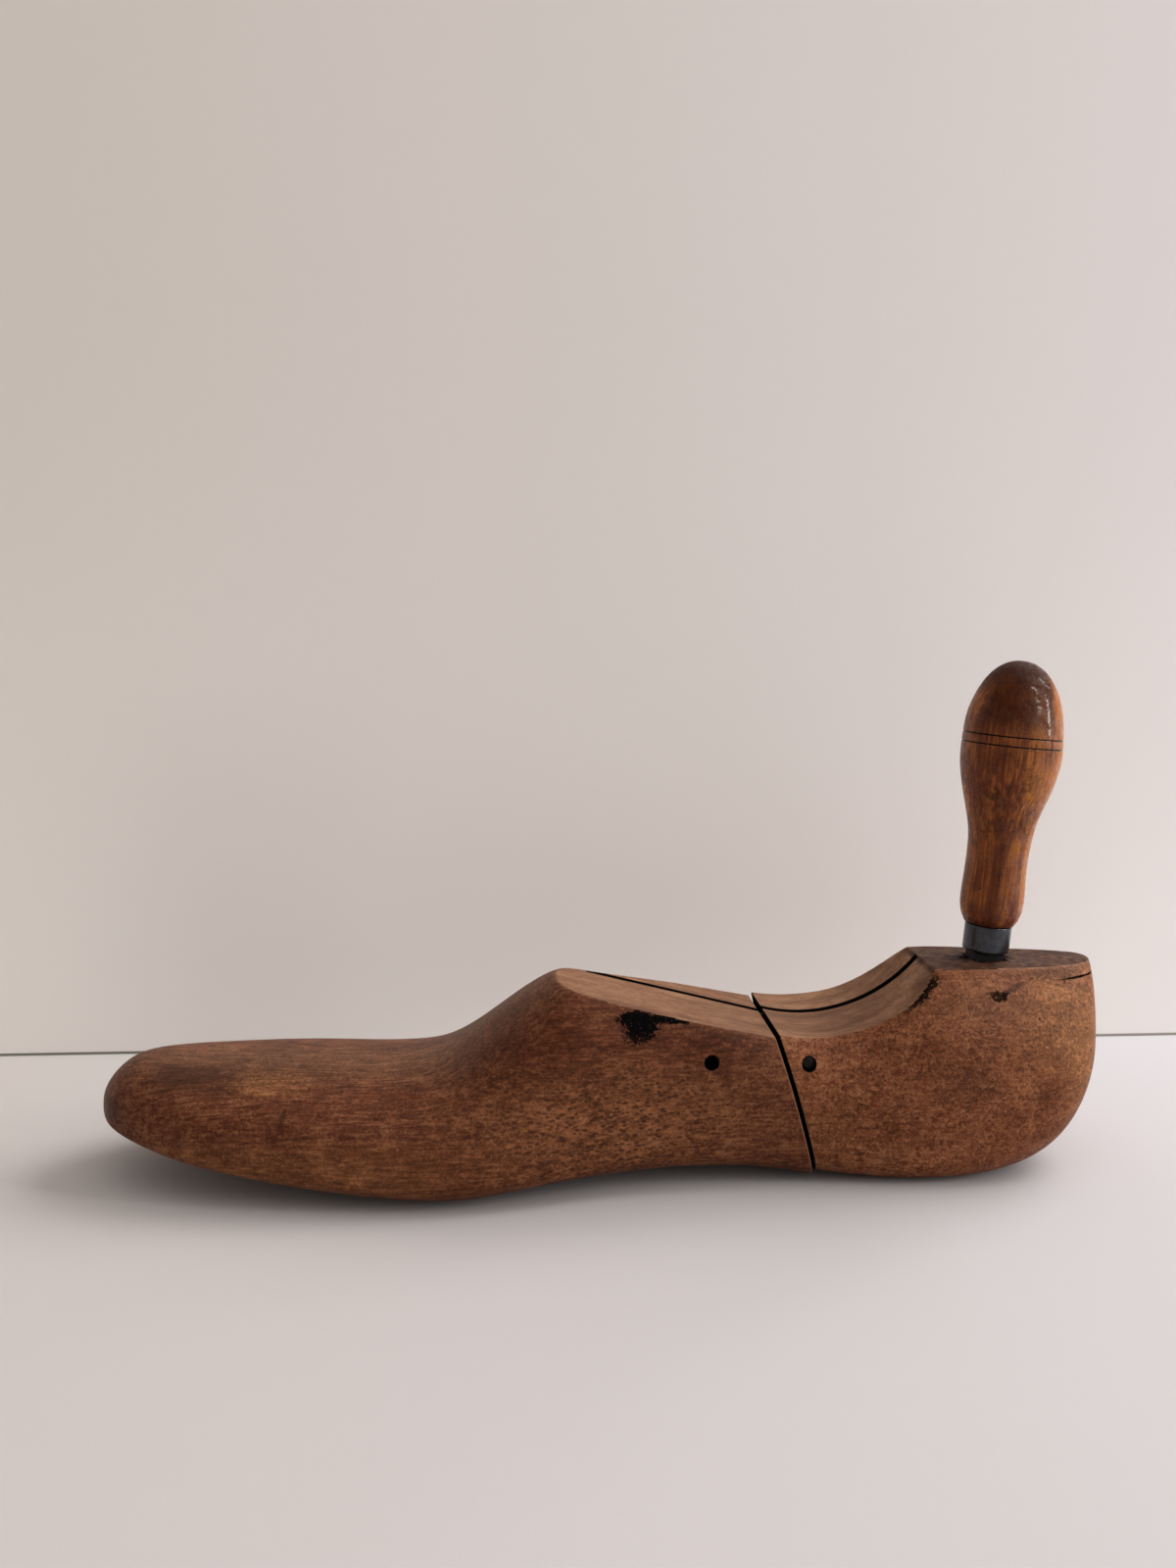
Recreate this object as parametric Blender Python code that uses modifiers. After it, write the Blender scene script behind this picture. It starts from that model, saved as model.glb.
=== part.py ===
"""Hinged wooden shoemaker's last with a removable turned handle.

Metres, +Z up. The toe points to -X, the heel to +X, and the inner side of the foot faces -Y.
The last is one turned body, sawn across into a forepart and a heel part. A flat steel link lies in
a saw slot and joins them on two cross pins. The handle's square tang stands in a mortise in the heel.
"""

import math

import bmesh
import bpy
import numpy as np
from mathutils import Matrix, Vector

# Body of the last
LAST_LENGTH = 0.305         # toe tip to the back of the heel
BALL_MEDIAL = 0.0436        # axis to the inner edge at the ball of the foot
BALL_LATERAL = 0.0456       # axis to the outer edge at the ball
WAIST_MEDIAL = 0.0302       # axis to the inner edge at the waist
WAIST_LATERAL = 0.0318      # axis to the outer edge at the waist
HEEL_HALF_WIDTH = 0.0326    # axis to either edge at the heel
TOE_DEPTH = 0.0345          # height of the toe box
INSTEP_HEIGHT = 0.0611      # height of the turned crest over the instep
CONE_HEIGHT = 0.0649        # height of the turned crest over the heel, before its top is sawn flat
TOE_SPRING = 0.0125         # height of the sole just behind the toe tip
ARCH_RISE = 0.0039          # height of the sole at the waist
TREAD_DEPTH = 0.0003        # how much of the ball and heel is worn flat
TIP_HEIGHT = 0.0208         # height of the toe's foremost point
TIP_OFFSET = 0.0030         # how far that point lies to the inner side
BACK_HEIGHT = 0.0446        # height of the heel's rearmost point
GIRTH_HEIGHT = 0.0200       # height of the widest line at the waist
RIDGE_OFFSET = 0.0095       # how far the instep crest lies to the inner side

# Sawn top
HEEL_TOP = 0.0597           # height of the flat top of the heel
SADDLE_HEIGHT = 0.0421      # lowest point of the sawn saddle
SADDLE_AT = 0.2140          # where that is, from the toe
SADDLE_RADIUS = 0.0480      # curve of the saddle
SADDLE_SLOPE = math.radians(14.0)  # fall of the straight cut from the instep

# Break between the two parts
BREAK_TOP = 0.2013          # where the cut meets the saddle, from the toe
BREAK_SLANT = math.radians(17.3)   # lean of the cut towards the toe
BREAK_RADIUS = 0.6200       # bow of the cut towards the heel
BREAK_GAP = 0.0012          # open joint between the parts
HEEL_STEP = 0.0012          # how much higher the heel part sits than the forepart

# Hinge
SLOT_WIDTH = 0.0023         # saw slot for the link
SLOT_Y = 0.0035             # the slot lies to the outer side of the axis
SLOT_DEPTH = 0.0205         # from the saddle down to the slot's deepest point
SAW_RADIUS = 0.0553         # blade that made the slot
SAW_BACK = 0.0028           # from the top of the break forward to the blade's centre
PIN_HOLE = 0.0043           # diameter of the pin holes
FIT_GAP = 0.0003            # play between pieces that touch
LINK_SPAN = 0.0292          # between the two pins
LINK_HEIGHT = 0.0110        # width of the link
FRONT_PIN_BACK = 0.0202     # from the top of the break forward to the front pin
FRONT_PIN_Z = 0.0386        # height of the front pin
REAR_PIN_Z = 0.0367         # height of the rear pin
FRONT_PIN_RECESS = 0.0060   # how deep the front pin's ends lie in their hole
REAR_PIN_RECESS = 0.0012    # how deep the rear pin's ends lie

# Handle, measured along its own axis from the flat top of the heel
HANDLE_AT = 0.0335          # from the back of the heel
HANDLE_LEAN = math.radians(5.2)
TANG_SIDE = 0.0095          # square bar
TANG_LENGTH = 0.0280        # part of the bar that stands in the mortise
TANG_BEVEL = 0.0012         # blunted edge of its foot
MORTISE_PLAY = 0.0005       # loose fit on each side of the bar
SPIKE_SIDE = 0.0054         # thinner end of the bar, inside the grip
SPIKE_LENGTH = 0.0440       # length of that end
SPIKE_TAPER = 0.6           # its tip, as a share of its root
FERRULE_BASE = 0.0025       # height of the ferrule over the heel
FERRULE_LENGTH = 0.0082     # height of the ferrule's tube
FERRULE_RADIUS = 0.00705    # outside of the tube
FERRULE_WALL = 0.0009       # thickness of the tube
GRIP_LENGTH = 0.0820        # from the ferrule to the top
GRIP_RADIUS = 0.01515       # at the thickest place
GRIP_MIDDLE = 0.67          # where that is, as a share of the grip's length
GRIP_FULLNESS = 2.15        # how square the domed top is: 2 is an ellipse
GRIP_NECK = 0.0094          # radius of the slim part
GRIP_COLLAR = 0.00968       # radius of the slight swell above the ferrule
GRIP_LIP = 0.0004           # how far the grip's foot stands out past the ferrule
RING_RISE = 0.0040          # from the thickest place up to the first scribed line
RING_SPACING = 0.0028       # between the two scribed lines
RING_CUT = 0.00035          # their depth

# Fineness of the shapes, and room for the cutters
STATIONS = 54               # sections along the last
AROUND = 40                 # points round each section
TURN_STEPS = 40             # steps round each turned piece
ROD_SIDES = 24              # sides of the pins and their holes
CUT_MARGIN = 0.015          # cutters run this far past the wood
CUT_WIDTH = 0.16            # cutters are this wide across the last

# Lines of the last, each as (share of the length from the toe, size)
SOLE_LINE = (
    (0.000, TIP_HEIGHT),
    (0.010, 1.46 * TOE_SPRING),
    (0.033, 1.22 * TOE_SPRING),
    (0.060, 1.02 * TOE_SPRING),
    (0.110, 0.73 * TOE_SPRING),
    (0.160, 0.52 * TOE_SPRING),
    (0.210, 0.35 * TOE_SPRING),
    (0.260, 0.19 * TOE_SPRING),
    (0.300, 0.06 * TOE_SPRING),
    (0.332, -TREAD_DEPTH),
    (0.372, -TREAD_DEPTH),
    (0.410, 0.32 * ARCH_RISE),
    (0.475, 0.77 * ARCH_RISE),
    (0.540, 0.98 * ARCH_RISE),
    (0.600, ARCH_RISE),
    (0.655, 0.66 * ARCH_RISE),
    (0.695, 0.14 * ARCH_RISE),
    (0.740, -0.75 * HEEL_STEP),
    (0.790, -HEEL_STEP - TREAD_DEPTH),
    (0.860, -HEEL_STEP - TREAD_DEPTH),
    (0.905, 0.0),
    (0.944, 0.100 * BACK_HEIGHT),
    (0.970, 0.260 * BACK_HEIGHT),
    (0.987, 0.470 * BACK_HEIGHT),
    (0.9967, 0.720 * BACK_HEIGHT),
    (1.000, BACK_HEIGHT),
)
CREST_LINE = (
    (0.000, TIP_HEIGHT),
    (0.010, 0.845 * TOE_DEPTH),
    (0.030, 0.995 * TOE_DEPTH),
    (0.066, 1.027 * TOE_DEPTH),
    (0.130, 1.010 * TOE_DEPTH),
    (0.230, 0.980 * TOE_DEPTH),
    (0.305, 0.985 * TOE_DEPTH),
    (0.336, 0.590 * INSTEP_HEIGHT),
    (0.384, 0.750 * INSTEP_HEIGHT),
    (0.431, 0.940 * INSTEP_HEIGHT),
    (0.453, 0.997 * INSTEP_HEIGHT),
    (0.480, 1.006 * INSTEP_HEIGHT),
    (0.530, INSTEP_HEIGHT),
    (0.590, 0.980 * INSTEP_HEIGHT),
    (0.660, 0.940 * INSTEP_HEIGHT),
    (0.740, 0.900 * CONE_HEIGHT),
    (0.813, 0.980 * CONE_HEIGHT),
    (0.860, CONE_HEIGHT),
    (0.920, CONE_HEIGHT),
    (0.960, 0.995 * CONE_HEIGHT),
    (0.981, 0.985 * CONE_HEIGHT),
    (0.9934, 0.960 * CONE_HEIGHT),
    (0.9983, 0.880 * CONE_HEIGHT),
    (1.000, BACK_HEIGHT),
)
MEDIAL_LINE = (
    (0.000, TIP_OFFSET),
    (0.0033, 0.17 * BALL_MEDIAL),
    (0.0164, 0.37 * BALL_MEDIAL),
    (0.033, 0.50 * BALL_MEDIAL),
    (0.066, 0.66 * BALL_MEDIAL),
    (0.108, 0.79 * BALL_MEDIAL),
    (0.157, 0.87 * BALL_MEDIAL),
    (0.210, 0.93 * BALL_MEDIAL),
    (0.270, 0.98 * BALL_MEDIAL),
    (0.335, BALL_MEDIAL),
    (0.400, 0.965 * BALL_MEDIAL),
    (0.475, 0.850 * BALL_MEDIAL),
    (0.530, 1.100 * WAIST_MEDIAL),
    (0.610, 1.015 * WAIST_MEDIAL),
    (0.690, 1.005 * WAIST_MEDIAL),
    (0.790, HEEL_HALF_WIDTH),
    (0.860, HEEL_HALF_WIDTH),
    (0.902, 0.955 * HEEL_HALF_WIDTH),
    (0.944, 0.845 * HEEL_HALF_WIDTH),
    (0.970, 0.685 * HEEL_HALF_WIDTH),
    (0.987, 0.490 * HEEL_HALF_WIDTH),
    (0.9967, 0.265 * HEEL_HALF_WIDTH),
    (1.000, 0.0),
)
LATERAL_LINE = (
    (0.000, -TIP_OFFSET),
    (0.0033, 0.06 * BALL_LATERAL),
    (0.0164, 0.26 * BALL_LATERAL),
    (0.033, 0.395 * BALL_LATERAL),
    (0.066, 0.580 * BALL_LATERAL),
    (0.108, 0.71 * BALL_LATERAL),
    (0.157, 0.81 * BALL_LATERAL),
    (0.210, 0.89 * BALL_LATERAL),
    (0.280, 0.965 * BALL_LATERAL),
    (0.355, BALL_LATERAL),
    (0.410, 0.985 * BALL_LATERAL),
    (0.475, 0.915 * BALL_LATERAL),
    (0.530, 1.200 * WAIST_LATERAL),
    (0.610, 1.045 * WAIST_LATERAL),
    (0.695, WAIST_LATERAL),
    (0.790, HEEL_HALF_WIDTH),
    (0.860, HEEL_HALF_WIDTH),
    (0.902, 0.955 * HEEL_HALF_WIDTH),
    (0.944, 0.845 * HEEL_HALF_WIDTH),
    (0.970, 0.685 * HEEL_HALF_WIDTH),
    (0.987, 0.490 * HEEL_HALF_WIDTH),
    (0.9967, 0.265 * HEEL_HALF_WIDTH),
    (1.000, 0.0),
)
RIDGE_LINE = (
    (0.000, -TIP_OFFSET),
    (0.150, -TIP_OFFSET),
    (0.280, -0.35 * RIDGE_OFFSET),
    (0.380, -0.65 * RIDGE_OFFSET),
    (0.450, -RIDGE_OFFSET),
    (0.505, -0.98 * RIDGE_OFFSET),
    (0.570, -0.55 * RIDGE_OFFSET),
    (0.660, -0.16 * RIDGE_OFFSET),
    (0.740, 0.10 * RIDGE_OFFSET),
    (0.860, 0.0),
    (1.000, 0.0),
)
GIRTH_LINE = (
    (0.000, TIP_HEIGHT),
    (0.060, 0.88 * GIRTH_HEIGHT),
    (0.160, 0.79 * GIRTH_HEIGHT),
    (0.270, 0.70 * GIRTH_HEIGHT),
    (0.340, 0.69 * GIRTH_HEIGHT),
    (0.400, 0.74 * GIRTH_HEIGHT),
    (0.475, 0.84 * GIRTH_HEIGHT),
    (0.610, GIRTH_HEIGHT),
    (0.700, GIRTH_HEIGHT),
    (0.800, 0.95 * GIRTH_HEIGHT),
    (0.900, 1.05 * GIRTH_HEIGHT),
    (0.960, 1.35 * GIRTH_HEIGHT),
    (1.000, BACK_HEIGHT),
)
# How square the section is: 2 is an ellipse, more is squarer, less is more pointed
INNER_FULLNESS = (
    (0.00, 2.00), (0.25, 2.10), (0.36, 1.90), (0.43, 2.20), (0.47, 2.80), (0.54, 3.30), (0.60, 3.20),
    (0.64, 2.50), (0.685, 2.00), (0.74, 1.75), (0.80, 2.05), (0.86, 2.00), (0.92, 1.85), (1.00, 1.80),
)
OUTER_FULLNESS = (
    (0.00, 2.00), (0.25, 2.10), (0.36, 1.85), (0.45, 1.70), (0.49, 1.55), (0.60, 1.52), (0.66, 1.62),
    (0.70, 1.72), (0.75, 1.62), (0.83, 2.05), (0.88, 1.90), (0.93, 1.72), (1.00, 1.70),
)
SOLE_FULLNESS = (
    (0.00, 2.00), (0.06, 2.60), (0.15, 3.60), (0.25, 4.20), (0.35, 3.80), (0.45, 3.80), (0.60, 4.40),
    (0.70, 4.80), (0.80, 5.40), (0.88, 4.00), (0.95, 2.60), (1.00, 2.00),
)

# Places that follow from the sizes above
FRONT_PIN_X = BREAK_TOP - FRONT_PIN_BACK
REAR_PIN_X = FRONT_PIN_X + math.sqrt(LINK_SPAN ** 2 - (FRONT_PIN_Z - REAR_PIN_Z) ** 2)
HANDLE_X = LAST_LENGTH - HANDLE_AT
HANDLE_Z = HEEL_TOP + HEEL_STEP


def station_angle(share):
    """Angle whose cosine spacing bunches the stations at both round ends."""
    return np.arccos(1.0 - 2.0 * np.asarray(share, dtype=float))


def smooth_line(points, at):
    """Natural cubic through (place, value) points, read at the places in at."""
    places = np.array([point[0] for point in points], dtype=float)
    values = np.array([point[1] for point in points], dtype=float)
    gaps = np.diff(places)
    slopes = np.diff(values) / gaps
    count = len(places)
    matrix = np.eye(count)
    right = np.zeros(count)
    for row in range(1, count - 1):
        matrix[row, row - 1] = gaps[row - 1]
        matrix[row, row] = 2.0 * (gaps[row - 1] + gaps[row])
        matrix[row, row + 1] = gaps[row]
        right[row] = 6.0 * (slopes[row] - slopes[row - 1])
    bends = np.linalg.solve(matrix, right)
    at = np.asarray(at, dtype=float)
    span = np.clip(np.searchsorted(places, at) - 1, 0, count - 2)
    before = at - places[span]
    after = places[span + 1] - at
    gap = gaps[span]
    curve = (bends[span] * after ** 3 + bends[span + 1] * before ** 3) / (6.0 * gap)
    start = (values[span] / gap - bends[span] * gap / 6.0) * after
    end = (values[span + 1] / gap - bends[span + 1] * gap / 6.0) * before
    return curve + start + end


def body_line(points, angle):
    """Line of the last at the station angles, smooth through the round ends."""
    spread = tuple((float(station_angle(share)), value) for share, value in points)
    return smooth_line(spread, angle)


def saddle_height(x):
    """Height of the sawn top: a straight fall from the instep, then an arc up to the heel's flat top."""
    centre = SADDLE_HEIGHT + SADDLE_RADIUS
    meets = SADDLE_AT - SADDLE_RADIUS * math.sin(SADDLE_SLOPE)
    fall = centre - SADDLE_RADIUS * math.cos(SADDLE_SLOPE)
    reach = np.clip(x - SADDLE_AT, -SADDLE_RADIUS, SADDLE_RADIUS)
    arc = centre - np.sqrt(SADDLE_RADIUS ** 2 - reach ** 2)
    straight = fall + math.tan(SADDLE_SLOPE) * (meets - x)
    return np.where(x < meets, straight, np.minimum(arc, HEEL_TOP))


def break_x(z, offset):
    """Place of the break at height z, moved towards the heel by offset."""
    top = float(saddle_height(BREAK_TOP))
    centre_x = BREAK_TOP - BREAK_RADIUS * math.cos(BREAK_SLANT)
    centre_z = top - BREAK_RADIUS * math.sin(BREAK_SLANT)
    radius = BREAK_RADIUS + offset
    return centre_x + np.sqrt(radius ** 2 - (z - centre_z) ** 2)


def make_collection(name):
    """New collection linked to the scene."""
    collection = bpy.data.collections.new(name)
    bpy.context.scene.collection.children.link(collection)
    return collection


def make_material(name, colour, roughness, metallic=0.0):
    """Principled material with one colour."""
    material = bpy.data.materials.new(name)
    material.use_nodes = True
    shader = material.node_tree.nodes["Principled BSDF"]
    shader.inputs["Base Color"].default_value = (*colour, 1.0)
    shader.inputs["Roughness"].default_value = roughness
    shader.inputs["Metallic"].default_value = metallic
    material.diffuse_color = (*colour, 1.0)
    return material


def make_object(name, mesh, collection):
    """Object for the mesh in the collection."""
    item = bpy.data.objects.new(name, mesh)
    collection.objects.link(item)
    return item


def mesh_from(name, build):
    """Mesh filled by build, a function of an empty bmesh."""
    mesh = bpy.data.meshes.new(name)
    work = bmesh.new()
    build(work)
    work.to_mesh(mesh)
    work.free()
    return mesh


def section_points():
    """Rings of points along the last, from toe to heel, without its two end points.

    Each section is three quarter super-ellipses that meet on the widest line: the upper inner, the
    upper outer and the sole, which is the same on both sides.
    """
    angle = np.linspace(0.0, math.pi, STATIONS + 2)[1:-1]
    share = (1.0 - np.cos(angle)) / 2.0
    sole = body_line(SOLE_LINE, angle)
    crest = body_line(CREST_LINE, angle)
    girth = body_line(GIRTH_LINE, angle)
    medial = -body_line(MEDIAL_LINE, angle)
    lateral = body_line(LATERAL_LINE, angle)
    ridge = body_line(RIDGE_LINE, angle)
    inner_power = 2.0 / body_line(INNER_FULLNESS, angle)
    outer_power = 2.0 / body_line(OUTER_FULLNESS, angle)
    sole_power = 2.0 / body_line(SOLE_FULLNESS, angle)

    turn = np.linspace(0.0, 2.0 * math.pi, AROUND, endpoint=False)
    upper = np.sin(turn) >= 0.0
    outer = np.cos(turn) >= 0.0
    top_power = np.where(outer, outer_power[:, None], inner_power[:, None])
    power = np.where(upper, top_power, sole_power[:, None])
    across = np.abs(np.cos(turn)) ** power
    rise = np.abs(np.sin(turn)) ** power
    middle = np.where(upper, ridge[:, None], (medial + lateral)[:, None] / 2.0)
    edge = np.where(outer, lateral[:, None], medial[:, None])
    limit = np.where(upper, crest[:, None], sole[:, None])
    x = np.repeat((LAST_LENGTH * share)[:, None], AROUND, axis=1)
    y = middle + (edge - middle) * across
    z = girth[:, None] + (limit - girth[:, None]) * rise
    return np.stack([x, y, z], axis=2)


def last_blank(name, collection, step):
    """Turned body of the whole last, raised by step and worn flat where it meets the ground."""
    toe = (0.0, -TIP_OFFSET, TIP_HEIGHT)
    heel = (LAST_LENGTH, 0.0, BACK_HEIGHT)
    points = np.vstack([section_points().reshape(-1, 3), toe, heel])
    points[:, 2] = np.maximum(points[:, 2] + step, 0.0)
    toe_point = STATIONS * AROUND
    heel_point = toe_point + 1
    last_ring = toe_point - AROUND
    faces = []
    for spot in range(AROUND):
        after = (spot + 1) % AROUND
        faces.append((toe_point, after, spot))
        faces.append((heel_point, last_ring + spot, last_ring + after))
        for low in range(0, last_ring, AROUND):
            high = low + AROUND
            faces.append((low + spot, low + after, high + after, high + spot))
    mesh = bpy.data.meshes.new(name)
    mesh.from_pydata(points.tolist(), [], faces)
    work = bmesh.new()
    work.from_mesh(mesh)
    bmesh.ops.recalc_face_normals(work, faces=work.faces)
    bmesh.ops.triangulate(work, faces=work.faces)
    work.to_mesh(mesh)
    work.free()
    return make_object(name, mesh, collection)


def plate(name, loops, thickness, y, collection):
    """Flat plate in the XZ plane, from closed outlines, centred on y."""
    curve = bpy.data.curves.new(name, "CURVE")
    curve.dimensions = "2D"
    curve.fill_mode = "BOTH"
    curve.extrude = thickness / 2.0
    for loop in loops:
        spline = curve.splines.new("POLY")
        spline.points.add(len(loop) - 1)
        for point, (x, z) in zip(spline.points, loop):
            point.co = (x, z, 0.0, 1.0)
        spline.use_cyclic_u = True
    flat = bpy.data.objects.new(name + "_outline", curve)
    flat.matrix_world = Matrix.Translation((0.0, y, 0.0)) @ Matrix.Rotation(math.pi / 2.0, 4, "X")
    collection.objects.link(flat)
    bpy.context.view_layer.update()
    graph = bpy.context.evaluated_depsgraph_get()
    mesh = bpy.data.meshes.new_from_object(flat.evaluated_get(graph))
    mesh.transform(flat.matrix_world)
    bpy.data.objects.remove(flat)
    work = bmesh.new()
    work.from_mesh(mesh)
    bmesh.ops.remove_doubles(work, verts=work.verts, dist=1e-6)
    bmesh.ops.recalc_face_normals(work, faces=work.faces)
    work.to_mesh(mesh)
    work.free()
    return make_object(name, mesh, collection)


def rod(name, radius, length, centre, collection, sides=ROD_SIDES):
    """Round bar along Y."""
    turn = Matrix.Translation(centre) @ Matrix.Rotation(math.pi / 2.0, 4, "X")

    def build(work):
        bmesh.ops.create_cone(work, cap_ends=True, segments=sides, radius1=radius,
                              radius2=radius, depth=length, matrix=turn)

    return make_object(name, mesh_from(name, build), collection)


def turned(name, profile, collection):
    """Piece turned about its Z axis from (radius, height) points."""
    mesh = bpy.data.meshes.new(name)
    closed = profile[0] == profile[-1]
    points = profile[:-1] if closed else profile
    edges = [(spot, spot + 1) for spot in range(len(points) - 1)]
    if closed:
        edges.append((len(points) - 1, 0))
    mesh.from_pydata([(radius, 0.0, height) for radius, height in points], edges, [])
    item = make_object(name, mesh, collection)
    screw = item.modifiers.new("turning", "SCREW")
    screw.axis = "Z"
    screw.angle = 2.0 * math.pi
    screw.steps = TURN_STEPS
    screw.render_steps = TURN_STEPS
    screw.use_merge_vertices = True
    screw.merge_threshold = 0.00001
    screw.use_normal_calculate = True
    return item


def cut(item, cutter):
    """Take the cutter's volume out of the item."""
    boolean = item.modifiers.new(cutter.name, "BOOLEAN")
    boolean.operation = "DIFFERENCE"
    boolean.solver = "EXACT"
    boolean.object = cutter
    cutter.hide_render = True
    cutter.display_type = "WIRE"


def shade(item, material, angle):
    """Give the item its material, and smooth shading up to the angle in degrees."""
    item.data.materials.clear()
    item.data.materials.append(material)
    item.data.shade_smooth()
    item.data.set_sharp_from_angle(angle=math.radians(angle))


def move_origin(item, point):
    """Put the object's origin at point without moving its shape."""
    item.data.transform(Matrix.Translation(-Vector(point)))
    item.location = point


def top_cutter(name, step, collection):
    """Everything above the sawn top of the last."""
    centre = SADDLE_HEIGHT + SADDLE_RADIUS
    top_angle = math.acos((centre - HEEL_TOP) / SADDLE_RADIUS)
    toe_end = -CUT_MARGIN
    heel_end = LAST_LENGTH + CUT_MARGIN
    roof = float(saddle_height(toe_end)) + CUT_MARGIN
    outline = [(toe_end, float(saddle_height(toe_end)) + step)]
    for angle in np.linspace(-SADDLE_SLOPE, top_angle, 28):
        x = SADDLE_AT + SADDLE_RADIUS * math.sin(angle)
        z = centre - SADDLE_RADIUS * math.cos(angle)
        outline.append((x, z + step))
    outline.append((heel_end, HEEL_TOP + step))
    outline.append((heel_end, roof))
    outline.append((toe_end, roof))
    return plate(name, [outline], CUT_WIDTH, 0.0, collection)


def break_cutter(name, offset, end_x, step, collection):
    """Everything on one side of the break, as far as end_x."""
    z = np.linspace(-CUT_MARGIN, CONE_HEIGHT + CUT_MARGIN, 20)
    x = break_x(z, offset)
    outline = list(zip(x.tolist(), (z + step).tolist()))
    outline.append((end_x, float(z[-1]) + step))
    outline.append((end_x, float(z[0]) + step))
    return plate(name, [outline], CUT_WIDTH, 0.0, collection)


def slot_cutter(name, step, collection):
    """Saw slot: one pass of a round blade from above."""
    centre_x = BREAK_TOP - SAW_BACK
    centre_z = SADDLE_HEIGHT - SLOT_DEPTH + SAW_RADIUS + step
    return rod(name, SAW_RADIUS, SLOT_WIDTH, (centre_x, SLOT_Y, centre_z), collection, 3 * ROD_SIDES)


def pin_hole(name, x, z, collection):
    """Hole for a hinge pin, right across the last."""
    return rod(name, PIN_HOLE / 2.0, CUT_WIDTH, (x, 0.0, z), collection)


def side_reach(x, z):
    """Inner and outer edge of the turned body at one place and height."""
    angle = station_angle(x / LAST_LENGTH)
    girth = body_line(GIRTH_LINE, angle)
    crest = body_line(CREST_LINE, angle)
    ridge = body_line(RIDGE_LINE, angle)
    rise = (z - girth) / (crest - girth)
    inner = body_line(INNER_FULLNESS, angle)
    outer = body_line(OUTER_FULLNESS, angle)
    inner_width = (1.0 - rise ** inner) ** (1.0 / inner)
    outer_width = (1.0 - rise ** outer) ** (1.0 / outer)
    medial = ridge - (body_line(MEDIAL_LINE, angle) + ridge) * inner_width
    lateral = ridge + (body_line(LATERAL_LINE, angle) - ridge) * outer_width
    return float(medial), float(lateral)


def make_forepart(parts, cutters, wood):
    """Front of the last, with its half of the saddle, the slot and the front pin hole."""
    item = last_blank("forepart", parts, 0.0)
    beyond = LAST_LENGTH + CUT_MARGIN
    cut(item, break_cutter("forepart_break", -BREAK_GAP / 2.0, beyond, 0.0, cutters))
    cut(item, top_cutter("forepart_top", 0.0, cutters))
    cut(item, slot_cutter("forepart_slot", 0.0, cutters))
    cut(item, pin_hole("forepart_pin_hole", FRONT_PIN_X, FRONT_PIN_Z, cutters))
    shade(item, wood, 40.0)
    return item


def make_heel_part(parts, cutters, wood):
    """Back of the last, one step higher, with the rear pin hole and the handle's mortise."""
    item = last_blank("heel_part", parts, HEEL_STEP)
    cut(item, break_cutter("heel_break", BREAK_GAP / 2.0, -CUT_MARGIN, HEEL_STEP, cutters))
    cut(item, top_cutter("heel_top", HEEL_STEP, cutters))
    cut(item, slot_cutter("heel_slot", HEEL_STEP, cutters))
    cut(item, pin_hole("heel_pin_hole", REAR_PIN_X, REAR_PIN_Z, cutters))
    cut(item, mortise_cutter(cutters))
    shade(item, wood, 40.0)
    move_origin(item, (REAR_PIN_X, 0.0, REAR_PIN_Z))
    return item


def mortise_cutter(cutters):
    """Square socket for the tang, leaning with the handle."""
    side = TANG_SIDE + 2.0 * MORTISE_PLAY
    depth = TANG_LENGTH + FIT_GAP
    middle = Matrix.Translation((0.0, 0.0, (CUT_MARGIN - depth) / 2.0))
    size = Matrix.Diagonal((side, side, depth + CUT_MARGIN, 1.0))

    def build(work):
        bmesh.ops.create_cube(work, size=1.0, matrix=handle_place() @ middle @ size)

    return make_object("mortise", mesh_from("mortise", build), cutters)


def circle(centre, radius, start, end, count):
    """Points of an arc in the XZ plane."""
    bends = np.linspace(start, end, count)
    x = centre[0] + radius * np.cos(bends)
    z = centre[1] + radius * np.sin(bends)
    return list(zip(x.tolist(), z.tolist()))


def make_link(parts, steel):
    """Flat steel link with a round end and a hole at each pin."""
    front = (FRONT_PIN_X, FRONT_PIN_Z)
    rear = (REAR_PIN_X, REAR_PIN_Z)
    tilt = math.atan2(rear[1] - front[1], rear[0] - front[0])
    quarter = math.pi / 2.0
    outline = circle(rear, LINK_HEIGHT / 2.0, tilt - quarter, tilt + quarter, 13)
    outline += circle(front, LINK_HEIGHT / 2.0, tilt + quarter, tilt + 3.0 * quarter, 13)
    last_bend = 2.0 * math.pi * (1.0 - 1.0 / ROD_SIDES)
    holes = [circle(centre, PIN_HOLE / 2.0, 0.0, last_bend, ROD_SIDES) for centre in (rear, front)]
    item = plate("hinge_link", [outline, *holes], SLOT_WIDTH - 2.0 * FIT_GAP, SLOT_Y, parts)
    shade(item, steel, 30.0)
    move_origin(item, (FRONT_PIN_X, SLOT_Y, FRONT_PIN_Z))
    return item


def make_pin(name, x, z, step, recess, parts, steel):
    """Hinge pin from side to side, its ends below the wood by the recess."""
    medial, lateral = side_reach(x, z - step)
    length = lateral - medial - 2.0 * recess
    centre = (x, (lateral + medial) / 2.0, z)
    item = rod(name, PIN_HOLE / 2.0 - FIT_GAP, length, centre, parts)
    edge = item.modifiers.new("worn_ends", "BEVEL")
    edge.width = FIT_GAP
    edge.segments = 1
    shade(item, steel, 50.0)
    move_origin(item, centre)
    return item


def handle_place():
    """Frame of the handle: origin on the heel's flat top, Z up along the leaning tang."""
    place = Matrix.Translation((HANDLE_X, 0.0, HANDLE_Z))
    return place @ Matrix.Rotation(HANDLE_LEAN, 4, "Y")


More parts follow.
